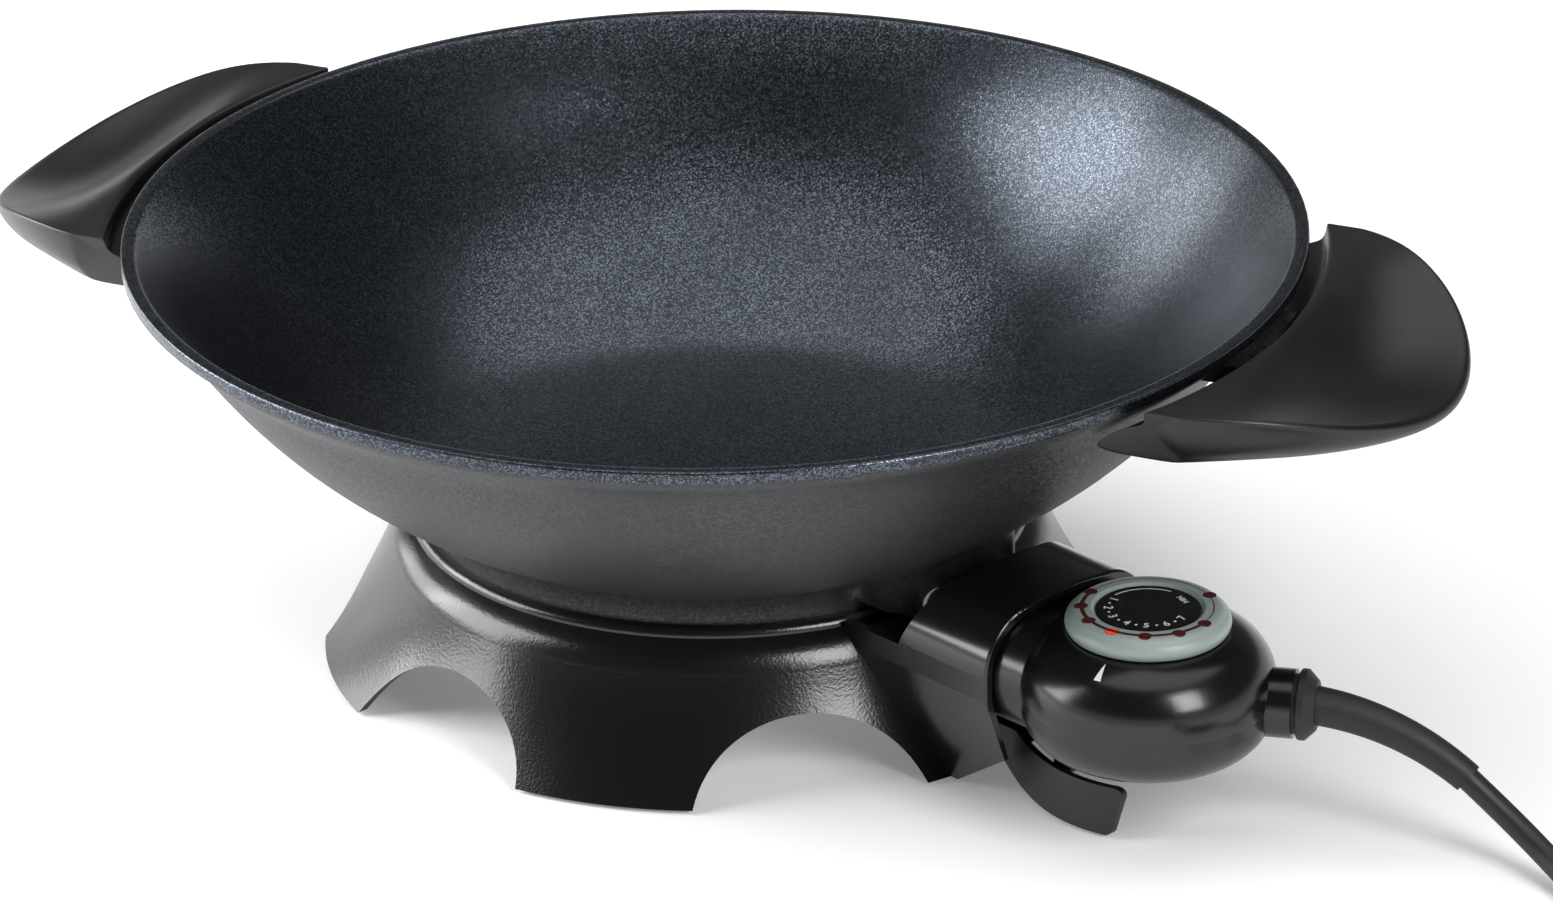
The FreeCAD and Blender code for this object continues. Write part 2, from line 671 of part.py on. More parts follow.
def rubber_feet():
    feet = []
    for a in pad_angles():
        pad = rod(pad_radius, polar(pad_circle, a, 0), polar(pad_circle, a, pad_height))
        pad = pad.makeFillet(0.8, [e for e in pad.Edges if e.BoundBox.ZMax < 0.1])
        stem = rod(pad_stem_radius, polar(pad_circle, a, pad_height), polar(pad_circle, a, pad_height + pad_stem_height))
        feet.append(pad.fuse(stem).removeSplitter())
    return group(feet)


def lever_bracket(inside):
    """Web inside the bridge's foot that carries the release lever's pin."""
    top = lever_bottom + lever_height + 3.5 + lever_web_thickness
    pivot = V(lever_line[0][0], lever_line[0][1], 0)
    under = top - lever_web_thickness
    web = block(-24, 24, pivot.y - 20, pivot.y + 8, under, top)
    hub = rod(lever_hub_radius + 1, pivot + UP * (lever_bottom + lever_height + 1.4), pivot + UP * top)
    bore = rod(lever_pin_radius, pivot, pivot + UP * (top - 1))
    return web.fuse(hub).common(inside).cut(bore)


def control_rest():
    """Tongue that runs out from the web under the control, with a ribbed end that the control's body stands over."""
    top = lever_bottom + lever_height + 3.5 + lever_web_thickness
    half = rest_half_width
    tongue = block(-half, half, -rest_reach, lever_line[0][1] - 2.6, top - lever_web_thickness, top)
    end = block(-half, half, -rest_reach, -rest_reach + rest_rib_length, rest_bottom, body_bottom - 0.6)
    end = end.makeFillet(2, [e for e in end.Edges if e.BoundBox.ZLength > 3 and e.BoundBox.YMax < -rest_reach + 1])
    hollow = block(-half + base_wall, half - base_wall, -rest_reach + base_wall, -rest_reach + rest_rib_length + 1,
                   rest_bottom - 1, top - lever_web_thickness)
    return tongue.fuse(end).cut(hollow)


def lever_slot():
    """Opening in the foot's wall, wide enough for the lever at both ends of its swing."""
    reach = skirt_radius + lever_line[0][1]
    half = lever_thickness / 2 + lever_slot_gap
    left = lever_line[1][0] - half - reach * math.sin(math.radians(lever_swing))
    right = lever_line[0][0] + half - 1.2
    return block(left, right, -skirt_radius - 2, lever_line[0][1] - 4, -1, lever_bottom + lever_height + 0.8)


def base_screws():
    screws = []
    for a in screw_angles:
        head_top = seat_height - base_wall - shield_thickness
        head = rod(4.0, polar(screw_circle, a, head_top - 2.2), polar(screw_circle, a, head_top))
        shank = rod(screw_radius, polar(screw_circle, a, head_top), polar(screw_circle, a, seat_height + screw_depth - 0.5))
        screws.append(head.fuse(shank).removeSplitter())
    return group(screws)


def heat_shield():
    """Steel disc under the deck, clamped by the three screws, dished down in the middle."""
    top = seat_height - base_wall
    rim = rod(shield_radius, V(0, 0, top - shield_thickness), V(0, 0, top))
    slope = shield_dish_depth * 0.8
    dish = Part.makeCone(shield_dish_radius + slope, shield_dish_radius, shield_dish_depth, V(0, 0, top), V(0, 0, -1))
    pressed = Part.makeCone(shield_dish_radius + slope + shield_thickness, shield_dish_radius + shield_thickness,
                            shield_dish_depth + shield_thickness, V(0, 0, top), V(0, 0, -1))
    holes = [rod(screw_radius + 0.3, polar(screw_circle, a, 30), polar(screw_circle, a, 60)) for a in screw_angles]
    vents = [rod(4, polar(30, k * 60, 20), polar(30, k * 60, 60)) for k in range(6)]
    return rim.fuse(pressed).cut([dish] + holes + vents).removeSplitter()


# ---------------------------------------------------------------- release lever
def lever_side(offset):
    """One face of the blade: the lever's line moved sideways."""
    points = [V(x, y, lever_bottom) for x, y in lever_line]
    moved = []
    for k, point in enumerate(points):
        way = points[min(k + 1, len(points) - 1)] - points[max(k - 1, 0)]
        moved.append(point + V(-way.y, way.x, 0).normalize() * offset)
    curve = Part.BSplineCurve()
    curve.interpolate(moved)
    return curve.toShape(), moved[0], moved[-1]


def release_lever():
    """Curved blade on an upright pin; its tip ends in two rounded corners."""
    near, near_root, near_tip = lever_side(-lever_thickness / 2)
    far, far_root, far_tip = lever_side(lever_thickness / 2)
    blade = face_of([near, line(near_tip, far_tip), far, line(far_root, near_root)])
    blade = blade.extrude(UP * lever_height)
    top = lever_bottom + lever_height
    beyond = face_of([
        line(V(-60, -lever_tip_low, lever_bottom), V(-60, -lever_tip_high, top)),
        line(V(-60, -lever_tip_high, top), V(-60, -lever_tip_high, top + 5)),
        line(V(-60, -lever_tip_high, top + 5), V(-60, -200, top + 5)),
        line(V(-60, -200, top + 5), V(-60, -200, 0)),
        line(V(-60, -200, 0), V(-60, -lever_tip_low, 0)),
        line(V(-60, -lever_tip_low, 0), V(-60, -lever_tip_low, lever_bottom))]).extrude(V(120, 0, 0))
    blade = blade.cut(beyond)
    tips = [e for e in blade.Edges if e.BoundBox.YMax < -lever_tip_low + 2 and e.BoundBox.ZLength < 0.1
            and e.Length < lever_thickness * 1.6]
    blade = blade.makeFillet(lever_tip_round, tips)
    pivot = V(lever_line[0][0], lever_line[0][1], lever_bottom)
    hub = rod(lever_hub_radius, pivot, pivot + UP * lever_height)
    bore = rod(lever_pin_radius + 0.1, pivot - UP, pivot + UP * (lever_height + 2))
    return blade.fuse(hub).cut(bore).removeSplitter()


def lever_pin():
    pivot = V(lever_line[0][0], lever_line[0][1], 0)
    top = lever_bottom + lever_height + 3.5 + lever_web_thickness - 1
    return rod(lever_pin_radius, pivot + UP * (lever_bottom - 0.4), pivot + UP * top)


def lever_spring():
    """Small torsion spring, drawn as a closed ring round the pin above the hub."""
    low = V(lever_line[0][0], lever_line[0][1], lever_bottom + lever_height + 0.2)
    return tube(lever_hub_radius - 1, lever_pin_radius, low, low + UP * 1.2)


# ---------------------------------------------------------------- control
body_middle = OUT * control_place
exit_way = along(exit_turn)


def control_form(inset):
    """The control's outer form, or the space inside it when inset is its wall."""
    ease = V(0, 0, 0)
    r = body_radius - inset
    top_r = body_top_radius
    top = body_top - inset
    bottom = body_bottom + inset
    low_r = body_bottom_radius
    high = parting_height + 2
    low = parting_height - 2
    upper = arc(rz(top_r, top), rz(top_r + (r - top_r) * 0.80, top - (top - high) * 0.36), rz(r, high))
    lower = arc(rz(r, low), rz(low_r + (r - low_r) * 0.74, bottom + (low - bottom) * 0.35), rz(low_r, bottom))
    body = turned(face_of([
        line(rz(0, top), rz(top_r, top)), upper, line(rz(r, high), rz(r, low)), lower,
        line(rz(low_r, bottom), rz(0, bottom)), line(rz(0, bottom), rz(0, top))]))
    body.translate(body_middle + ease)
    neck = oval(neck_half_width - inset, neck_height / 2 - inset, neck_corner - inset, -neck_front - inset, neck_middle)
    neck = neck.extrude(OUT * (control_place - neck_front - 16))
    axis_start = body_middle + UP * exit_height
    cone = Part.makeCone(exit_blend_radius - inset, exit_radius - inset, exit_reach - exit_blend_start - 8,
                         axis_start + exit_way * exit_blend_start, exit_way)
    flat = block(-200, 200, -400, 0, body_bottom + 2 + inset, body_top - 2 - inset)
    end = rod(exit_radius - inset, axis_start + exit_way * 30, axis_start + exit_way * (exit_reach - inset))
    return body.fuse([neck, cone.common(flat), end])


def nose_section(grow, y):
    half_height = nose_half_height + grow
    return oval(nose_half_width + grow, half_height, half_height, y, plug_height)


def control_shell():
    outer = control_form(0).removeSplitter()
    shell = outer.cut(control_form(control_wall))
    nose_hole = nose_section(0, -neck_front + 2).extrude(OUT * 6)
    spindle_hole = rod(spindle_radius + 0.4, body_middle + UP * 50, body_middle + UP * 80)
    lamp_hole = rod(2.2, lamp_place() + UP * 50, lamp_place() + UP * 80)
    lead_hole = rod(cord_radius + 0.4, body_middle + UP * exit_height + exit_way * 36,
                    body_middle + UP * exit_height + exit_way * 60)
    return shell.cut([nose_hole, spindle_hole, lamp_hole, lead_hole])


def lamp_place():
    return body_middle + polar(window_radius, pointer_angle)


def shell_posts():
    """Four posts that the casing screws run in, two to each side."""
    return [body_middle + V(x, y, 0) for x, y in ((22, 15), (-22, 15), (26, -10), (-22, -17))]


def control_upper_shell():
    upper = control_shell().common(block(-200, 200, -400, 0, parting_height, 200))
    posts = []
    for place in shell_posts():
        posts.append(rod(3.4, place + UP * parting_height, place + UP * (body_top - control_wall)))
    posts = group(posts).common(control_form(control_wall * 0.6))
    holes = [rod(1.2, place + UP * (parting_height - 1), place + UP * (parting_height + 9)) for place in shell_posts()]
    return upper.fuse(posts.Solids).cut(holes).removeSplitter()


def control_lower_shell():
    lower = control_shell().common(block(-200, 200, -400, 0, -10, parting_height))
    posts = []
    for place in shell_posts():
        posts.append(rod(4.4, place + UP * (body_bottom + 1), place + UP * parting_height))
    posts = group(posts).common(control_form(control_wall * 0.6))
    holes = []
    for place in shell_posts():
        holes.append(rod(1.4, place + UP * body_bottom, place + UP * (parting_height + 1)))
        holes.append(rod(2.6, place, place + UP * (parting_height - 6)))
    return lower.fuse(posts.Solids).cut(holes).removeSplitter()


def shell_screws():
    screws = []
    for place in shell_posts():
        head = place + UP * (parting_height - 6)
        screws.append(rod(2.5, head - UP * 1.8, head).fuse(rod(1.2, head, head + UP * 14)).removeSplitter())
    return group(screws)


def nose_insulator():
    """Moulded block that carries the probe and the two contact clips."""
    nose = nose_section(0, -nose_front).extrude(OUT * (nose_back - nose_front))
    bores = []
    for side in (-1, 1):
        start = V(side * pin_spread, -nose_front + 1, plug_height)
        bores.append(rod(clip_radius, start, start + OUT * 24))
    bores.append(rod(probe_radius, V(0, -nose_front + 1, plug_height), V(0, -nose_back - 1, plug_height)))
    return nose.cut(bores)


clip_radius = 3.6
clip_wall = 0.8


def contact_clips():
    """Two sprung sleeves that grip the pins."""
    clips = []
    for side in (-1, 1):
        start = V(side * pin_spread, -nose_front - 1, plug_height)
        clip = tube(clip_radius, clip_radius - clip_wall, start, start + OUT * 22)
        slit = block(start.x - 0.4, start.x + 0.4, start.y - 15, start.y + 1, plug_height, plug_height + 6)
        clips.append(clip.cut(slit))
    return group(clips)


def probe_rod():
    tip = V(0, -well_depth - 9, plug_height)
    tail = V(0, -nose_back - 6, plug_height)
    rod_shape = rod(probe_radius, tip, tail)
    return rod_shape.makeFillet(1.8, [e for e in rod_shape.Edges if e.BoundBox.YMin > tip.y - 0.1])


frame_half_width = 9.0


def thermostat_frame():
    """Folded steel frame on the back of the nose that carries the switch and the dial's spindle."""
    half = frame_half_width
    end = -control_place - 12
    floor = block(-half, half, end, -nose_back, 32, 33)
    back = block(-half, half, -nose_back - 1, -nose_back, 32, plug_height + 6)
    bearing = block(-half, half, end, -control_place + 8, 54, 55)
    arm = block(-half, half, end, end + 1, 32, 55)
    link = block(-half, half, end, end + 4, 54, 55)
    frame = floor.fuse([back, bearing, arm, link])
    bore = rod(spindle_radius + 0.3, body_middle + UP * 50, body_middle + UP * 60)
    probe_hole = rod(probe_radius, V(0, -nose_back + 2, plug_height), V(0, -nose_back - 3, plug_height))
    return frame.cut([bore, probe_hole]).removeSplitter()


def bimetal_blade():
    return block(-3, 3, -nose_back - 26, -nose_back - 1, 40, 41)


def contact_blades():
    low = block(4, 8, -nose_back - 30, -nose_back - 1, 36, 36.6)
    high = block(4, 8, -nose_back - 30, -nose_back - 1, 39, 39.6)
    silver = rod(1.5, V(6, -nose_back - 26, 36.6), V(6, -nose_back - 26, 37.8))
    other = rod(1.5, V(6, -nose_back - 26, 39), V(6, -nose_back - 26, 37.8))
    return group([low.fuse(silver).removeSplitter(), high.fuse(other).removeSplitter()])


def dial_spindle():
    """Shaft with the cam that bends the switch's blade."""
    shaft = rod(spindle_radius, body_middle + UP * 45, body_middle + UP * (body_top + dial_lift + 3))
    cam = Part.makeCylinder(7, 3, body_middle + V(1.5, 0, 47), UP)
    return shaft.fuse(cam).removeSplitter()


def indicator_lamp():
    base = lamp_place() + UP * (body_top - 18)
    bulb = rod(2.1, base, base + UP * 17)
    return bulb.makeFillet(1.6, [e for e in bulb.Edges if e.BoundBox.ZMin > base.z + 16])


def terminal_block():
    """Where the lead's wires end, on the side of the frame."""
    return block(frame_half_width, frame_half_width + 10, -control_place - 18, -control_place - 6, 30, 38)


# ---------------------------------------------------------------- dial
dial_bottom = body_top + dial_lift
dial_top = dial_bottom + dial_height


def dial_ring():
    """Soft-edged ring with eight windows round it."""
    profile = face_of([
        line(rz(dial_disc_radius + dial_disc_gap, dial_bottom), rz(dial_radius - 0.8, dial_bottom)),
        arc(rz(dial_radius - 0.8, dial_bottom), rz(dial_radius, dial_bottom + 2.2), rz(dial_radius - 1.6, dial_top - 1.4)),
        arc(rz(dial_radius - 1.6, dial_top - 1.4), rz(dial_radius - 2.9, dial_top - 0.4), rz(dial_radius - 4.6, dial_top)),
        line(rz(dial_radius - 4.6, dial_top), rz(dial_disc_radius + 1.2, dial_top)),
        line(rz(dial_disc_radius + 1.2, dial_top), rz(dial_disc_radius + dial_disc_gap, dial_top - 0.9)),
        line(rz(dial_disc_radius + dial_disc_gap, dial_top - 0.9), rz(dial_disc_radius + dial_disc_gap, dial_bottom))])
    ring = turned(profile)
    channel = tube(window_radius + 2.6, window_radius - 2.6, UP * (dial_bottom - 1), UP * (dial_bottom + lens_height))
    windows = [rod(window_size, polar(window_radius, a, dial_bottom), polar(window_radius, a, dial_top + 1))
               for a in window_angles]
    ring = ring.cut([channel] + windows)
    ring.translate(body_middle)
    return ring


lens_height = 4.2


def dial_lens_ring():
    """Dark red light pipe: a ring under the windows with a stud up into each."""
    ring = tube(window_radius + 2.6, window_radius - 2.6, UP * dial_bottom, UP * (dial_bottom + lens_height))
    studs = [rod(window_size, polar(window_radius, a, dial_bottom + lens_height - 0.5), polar(window_radius, a, dial_top))
             for a in window_angles]
    ring = ring.fuse(studs).removeSplitter()
    ring.translate(body_middle)
    return ring


def dial_disc():
    disc = rod(dial_disc_radius + dial_disc_gap, UP * dial_bottom, UP * (dial_top - 0.5))
    disc = disc.makeFillet(0.6, [e for e in disc.Edges if e.BoundBox.ZMin > dial_top - 0.6])
    disc = disc.cut(rod(spindle_radius, UP * (dial_bottom - 1), UP * (dial_bottom + 3)))
    disc.translate(body_middle)
    return disc


# ---------------------------------------------------------------- lead
flange_start = body_middle + UP * exit_height + exit_way * exit_reach
flange_end = flange_start + exit_way * flange_thickness


def cord_flange():
    """Rubber collar that the casing's end grips, with a groove behind its rim."""
    shoulder = flange_end - exit_way * flange_taper
    rim = rod(flange_radius, flange_start + exit_way * 1.2, shoulder)
    rim = rim.makeFillet(0.8, [e for e in rim.Edges if e.Length > 2 * math.pi * flange_radius - 1
                               and e.CenterOfMass.distanceToPoint(shoulder) > 1])
    rim = rim.fuse(Part.makeCone(flange_radius, sleeve_root_radius + 1.6, flange_taper, shoulder, exit_way))
    neck = rod(flange_radius - 1.6, flange_start, flange_start + exit_way * 2.5)
    tail = rod(cord_radius + 0.4, flange_start - exit_way * 8, flange_start)
    return rim.fuse([neck, tail]).removeSplitter()


def sleeve_stations(count):
    """Centre and direction at even steps along the sleeve, which droops and swings back as it goes."""
    point = flange_end
    step = sleeve_length / (count - 1)
    stations = []
    for k in range(count):
        share = k / (count - 1)
        turn = math.radians(exit_turn + 2 - 14 * share)
        fall = math.radians(10 + 28 * share)
        way = V(math.cos(fall) * math.sin(turn), -math.cos(fall) * math.cos(turn), -math.sin(fall))
        stations.append((point, way))
        point = point + way * step
    return stations


def cord_sleeve():
    """Tapered bend relief."""
    stations = sleeve_stations(7)
    circles = []
    for k, (point, way) in enumerate(stations):
        share = k / (len(stations) - 1)
        radius = sleeve_root_radius + (sleeve_tip_radius - sleeve_root_radius) * share
        facing = exit_way if k == 0 else way
        circles.append(Part.Wire(Part.makeCircle(radius, point, facing)))
    return Part.makeLoft(circles, True, False)


sleeve_tip, sleeve_way = sleeve_stations(7)[-1]

# Route of the lead from the sleeve's tip to the coil, down to the table and along it.
cord_route = [
    sleeve_tip,
    sleeve_tip + sleeve_way * 14.0,
    V(56.5, -286.0, 8.2),
    V(52.5, -303.0, lay_height),
    V(42.5, -317.0, lay_height),
    V(36.0, -333.0, lay_height),
    V(33.0, -350.0, lay_height),
]


def rounded_path(points, share=0.45):
    """Straight runs joined by tangent arcs, each as large as its two runs allow."""
    edges = []
    radii = []
    here = points[0]
    for before, corner, after in zip(points, points[1:], points[2:]):
        back = (before - corner)
        ahead = (after - corner)
        cut = share * min(back.Length, ahead.Length)
        back.normalize()
        ahead.normalize()
        half_turn = (math.pi - back.getAngle(ahead)) / 2
        radius = cut / math.tan(half_turn)
        start = corner + back * cut
        end = corner + ahead * cut
        bisector = (back + ahead).normalize()
        centre = corner + bisector * (radius / math.cos(half_turn))
        middle = centre - bisector * radius
        edges.append(line(here, start))
        edges.append(arc(start, middle, end))
        radii.append(radius)
        here = end
    edges.append(line(here, points[-1]))
    return Part.Wire(edges), radii


def cord_tube():
    path, radii = rounded_path(cord_route)
    way = cord_route[1] - cord_route[0]
    section = Part.Wire(Part.makeCircle(cord_radius, cord_route[0], way))
    pipe = path.makePipeShell([section], True, False)
    print("cord radii", [round(r, 1) for r in radii], "length", round(path.Length, 1),
          "volume share", round(pipe.Volume / (math.pi * cord_radius ** 2 * path.Length), 4))
    return pipe


coil_way = (cord_route[-1] - cord_route[-2]).normalize()
coil_lead_in = 26.0
coil_side = V(coil_way.y, -coil_way.x, 0)
coil_touch = cord_route[-1] + coil_way * coil_lead_in
coil_lead_radius = coil_turn_radius + coil_width / 2 - cord_radius - lead_sink
coil_centre = coil_touch + coil_side * coil_lead_radius


def cord_coil():
    """The lead's put-away length as one closed ring, with the stubs of its two ends."""
    middle = V(coil_centre.x, coil_centre.y, 0)
    ring = tube(coil_turn_radius + coil_width / 2, coil_turn_radius - coil_width / 2, middle, middle + UP * coil_height)
    stub = rod(cord_radius, cord_route[-1], coil_touch)
    return ring.fuse([stub, plug_stub()]).removeSplitter()


plug_way = V(-1, 0, 0)
plug_lead = 26.0


def plug_start():
    """Where the lead leaves the coil again: tangent to it on its far side."""
    return V(coil_centre.x, coil_centre.y - coil_lead_radius, lay_height + 2 * cord_radius)


def plug_stub():
    return rod(cord_radius, plug_start(), plug_start() + plug_way * plug_lead)


plug_tail_length = 26.0
plug_body_length = 34.0
plug_radius = 18.5
plug_pin_radius = 2.4
plug_pin_length = 19.0
plug_pin_spread = 9.5


def plug_base():
    return plug_start() + plug_way * plug_lead


def plug_axis_face():
    return plug_base() + plug_way * plug_tail_length + UP * (plug_radius - lay_height)


def plug_body():
    """Moulded earthed plug: round face, waisted grip and tapered tail, lying on its side."""
    tail_end = plug_base() + plug_way * plug_tail_length
    circles = []
    for share, radius in ((0.0, cord_radius), (0.25, 4.6), (0.6, 5.6), (1.0, 7.5)):
        rise = (plug_radius - lay_height) * share ** 1.3
        centre = plug_base() + plug_way * (plug_tail_length * share) + UP * rise
        circles.append(Part.Wire(Part.makeCircle(radius, centre, plug_way)))
    tail = Part.makeLoft(circles, True, False)
    face = tail_end + UP * (plug_radius - lay_height)
    profile = [(7.5, 0), (12.0, 6), (13.0, 15), (plug_radius, 20), (plug_radius, plug_body_length)]
    points = [V(0, 0, 0)] + [V(r, 0, h) for r, h in profile] + [V(0, 0, plug_body_length)]
    edges = [line(a, b) for a, b in zip(points, points[1:])] + [line(points[-1], points[0])]
    grip = turned(face_of(edges))
    grip.rotate(V(0, 0, 0), V(0, 1, 0), -90)
    grip.translate(face)
    body = tail.fuse(grip)
    front = face + plug_way * plug_body_length
    for side in (-1, 1):
        body = body.cut(Part.makeBox(15, 5, 3.4, V(front.x, front.y - 2.5, front.z + side * 16.8 - 1.7)))
    return body.removeSplitter()


def plug_pins():
    front = plug_axis_face() + plug_way * plug_body_length
    pins = []
    for side in (-1, 1):
        start = front + V(0, side * plug_pin_spread, 0)
        pin = rod(plug_pin_radius, start, start + plug_way * plug_pin_length)
        pins.append(pin.makeFillet(1.4, [e for e in pin.Edges if e.BoundBox.XMax < start.x - plug_pin_length + 0.1]))
    return group(pins)


def plug_earth_clips():
    front = plug_axis_face() + plug_way * plug_body_length
    return group([Part.makeBox(14, 3.6, 0.8, V(front.x + 1, front.y - 1.8, front.z + side * 15.5 - 0.4))
                  for side in (-1, 1)])


# ---------------------------------------------------------------- write every sub-part
PARTS = {
    "pan_bowl": pan_bowl,
    "heating_element": heating_element,
    "terminal_beads": terminal_beads,
    "terminal_pins": terminal_pins,
    "base_shell": base_shell,
    "rubber_feet": rubber_feet,
    "base_screws": base_screws,
    "heat_shield": heat_shield,
    "release_lever": release_lever,
    "lever_pin": lever_pin,
    "lever_spring": lever_spring,
    "control_upper_shell": control_upper_shell,
    "control_lower_shell": control_lower_shell,
    "shell_screws": shell_screws,
    "nose_insulator": nose_insulator,
    "contact_clips": contact_clips,
    "probe_rod": probe_rod,
    "thermostat_frame": thermostat_frame,
    "bimetal_blade": bimetal_blade,
    "contact_blades": contact_blades,
    "indicator_lamp": indicator_lamp,
    "terminal_block": terminal_block,
    "dial_spindle": dial_spindle,
    "dial_ring": dial_ring,
    "dial_lens_ring": dial_lens_ring,
    "dial_disc": dial_disc,
    "cord_flange": cord_flange,
    "cord_sleeve": cord_sleeve,
    "cord_tube": cord_tube,
    "cord_coil": cord_coil,
    "plug_body": plug_body,
    "plug_pins": plug_pins,
    "plug_earth_clips": plug_earth_clips,
}

for part_name, make in PARTS.items():
    save(make(), part_name)

one_handle = handle()
save(spun(one_handle, handle_turn), "right_handle")
save(spun(one_handle, handle_turn + 180), "left_handle")
save(group(handle_screw(handle_turn) + handle_screw(handle_turn + 180)), "handle_screws")
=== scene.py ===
import math

import bmesh
import bpy
from mathutils import Matrix, Vector
from mathutils.bvhtree import BVHTree


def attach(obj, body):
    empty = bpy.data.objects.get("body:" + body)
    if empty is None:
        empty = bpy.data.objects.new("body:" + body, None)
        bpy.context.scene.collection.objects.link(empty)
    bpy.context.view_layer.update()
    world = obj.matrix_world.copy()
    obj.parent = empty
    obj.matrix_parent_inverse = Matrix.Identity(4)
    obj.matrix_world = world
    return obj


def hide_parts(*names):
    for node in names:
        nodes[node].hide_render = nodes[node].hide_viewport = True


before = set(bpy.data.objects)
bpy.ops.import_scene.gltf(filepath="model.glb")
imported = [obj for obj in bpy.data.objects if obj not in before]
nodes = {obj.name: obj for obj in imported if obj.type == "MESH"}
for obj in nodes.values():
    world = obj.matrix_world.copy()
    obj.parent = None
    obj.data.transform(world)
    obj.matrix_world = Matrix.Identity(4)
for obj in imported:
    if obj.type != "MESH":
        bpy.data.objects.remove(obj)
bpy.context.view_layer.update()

# ---------------------------------------------------------------- table, lamps and camera
# A seamless white laminate table in a dim studio with a pale horizon. A lit ceiling gives even light
# from above. A big softbox stands at the left with a low one behind it, and a smaller one in front
# at the right.


def linear(code):
    """A colour written as sRGB hex, in the linear values that the shaders take."""
    parts = [int(code[i:i + 2], 16) / 255 for i in (1, 3, 5)]
    return [c / 12.92 if c <= 0.04045 else ((c + 0.055) / 1.055) ** 2.4 for c in parts] + [1.0]


def add(tree, kind, inputs=None, **settings):
    """Adds a node with its settings; an input is a value or the socket that feeds it."""
    made = tree.nodes.new(kind)
    for name, value in settings.items():
        setattr(made, name, value)
    for name, value in (inputs or {}).items():
        if isinstance(value, bpy.types.NodeSocket):
            tree.links.new(value, made.inputs[name])
        else:
            made.inputs[name].default_value = value
    return made


def new_finish(name):
    """An empty material: the material, its tree and its output node."""
    finish = bpy.data.materials.new(name)
    finish.use_nodes = True
    finish.node_tree.nodes.clear()
    return finish, finish.node_tree, finish.node_tree.nodes.new("ShaderNodeOutputMaterial")


def place_object(name, shape, *finishes):
    """Turns a bmesh into an object at the origin that wears these finishes."""
    mesh = bpy.data.meshes.new(name)
    shape.to_mesh(mesh)
    shape.free()
    made = bpy.data.objects.new(name, mesh)
    for finish in finishes:
        mesh.materials.append(finish)
    bpy.context.scene.collection.objects.link(made)
    return made


# White laminate: a plain pale floor with hardly any mirror image. What the camera or a reflection sees
# of it is lifted a little towards white, and it still takes the shadow.
floor_half = 6.0
white_lift = 0.17
white_laminate, tree, output = new_finish("white_laminate")
path = add(tree, "ShaderNodeLightPath")
seen = add(tree, "ShaderNodeMath", {0: path.outputs["Is Camera Ray"], 1: path.outputs["Is Glossy Ray"]},
           operation="MAXIMUM")
lift = add(tree, "ShaderNodeMath", {0: seen.outputs[0], 1: white_lift}, operation="MULTIPLY")
board = add(tree, "ShaderNodeBsdfPrincipled",
            {"Base Color": linear("#FAFAFA"), "Roughness": 0.6, "Specular IOR Level": 0.15,
             "Emission Color": linear("#FFFFFF"), "Emission Strength": lift.outputs[0]})
tree.links.new(board.outputs[0], output.inputs[0])
shape = bmesh.new()
bmesh.ops.create_grid(shape, x_segments=1, y_segments=1, size=floor_half)
table = place_object("table", shape, white_laminate)

# The room is pale at the horizon and dim overhead, so that black gloss keeps its depth. The two heights
# are sines of the elevation.
pale_below, dim_above = 0.06, 0.22
overhead_level = 0.09
room = bpy.data.worlds.new("studio_room")
bpy.context.scene.world = room
room.use_nodes = True
tree = room.node_tree
tree.nodes.clear()
direction = add(tree, "ShaderNodeTexCoord")
split = add(tree, "ShaderNodeSeparateXYZ", {"Vector": direction.outputs["Generated"]})
level = add(tree, "ShaderNodeMapRange",
            {"Value": split.outputs["Z"], "From Min": pale_below, "From Max": dim_above,
             "To Min": 1.0, "To Max": overhead_level}, interpolation_type="SMOOTHSTEP")
sky = add(tree, "ShaderNodeBackground", {"Color": linear("#FAFAFA"), "Strength": level.outputs[0]})
tree.links.new(sky.outputs[0], add(tree, "ShaderNodeOutputWorld").inputs[0])

view_turn = math.radians(-43.18)
to_right = Vector((math.cos(view_turn), math.sin(view_turn), 0))
to_back = Vector((-math.sin(view_turn), math.cos(view_turn), 0))
lamp_aim = Vector((0, 0, 0.06))
softboxes = {
    # name: (right, back and up from the bowl, width, height, power in watts)
    "left_softbox": (-1.35, 0.06, 0.70, 1.05, 1.05, 27.0),
    "low_softbox": (-1.15, 0.72, 0.46, 0.85, 0.60, 8.0),
    "right_softbox": (0.80, -1.02, 0.84, 0.50, 0.75, 13.0),
}
for name, (right, back, up, width, height, power) in softboxes.items():
    lamp = bpy.data.lights.new(name, "AREA")
    lamp.shape = "RECTANGLE"
    lamp.size, lamp.size_y, lamp.energy = width, height, power
    holder = bpy.data.objects.new(name, lamp)
    holder.location = to_right * right + to_back * back + Vector((0, 0, up))
    holder.rotation_euler = (lamp_aim - holder.location).to_track_quat("-Z", "Y").to_euler()
    bpy.context.scene.collection.objects.link(holder)

ceiling_lean = 0.2
ceiling = bpy.data.lights.new("lit_ceiling", "SUN")
ceiling.energy = 1.4
ceiling.angle = math.radians(72)
holder = bpy.data.objects.new("lit_ceiling", ceiling)
holder.rotation_euler = (-(to_back * ceiling_lean + Vector((0, 0, 1)))).to_track_quat("-Z", "Y").to_euler()
bpy.context.scene.collection.objects.link(holder)

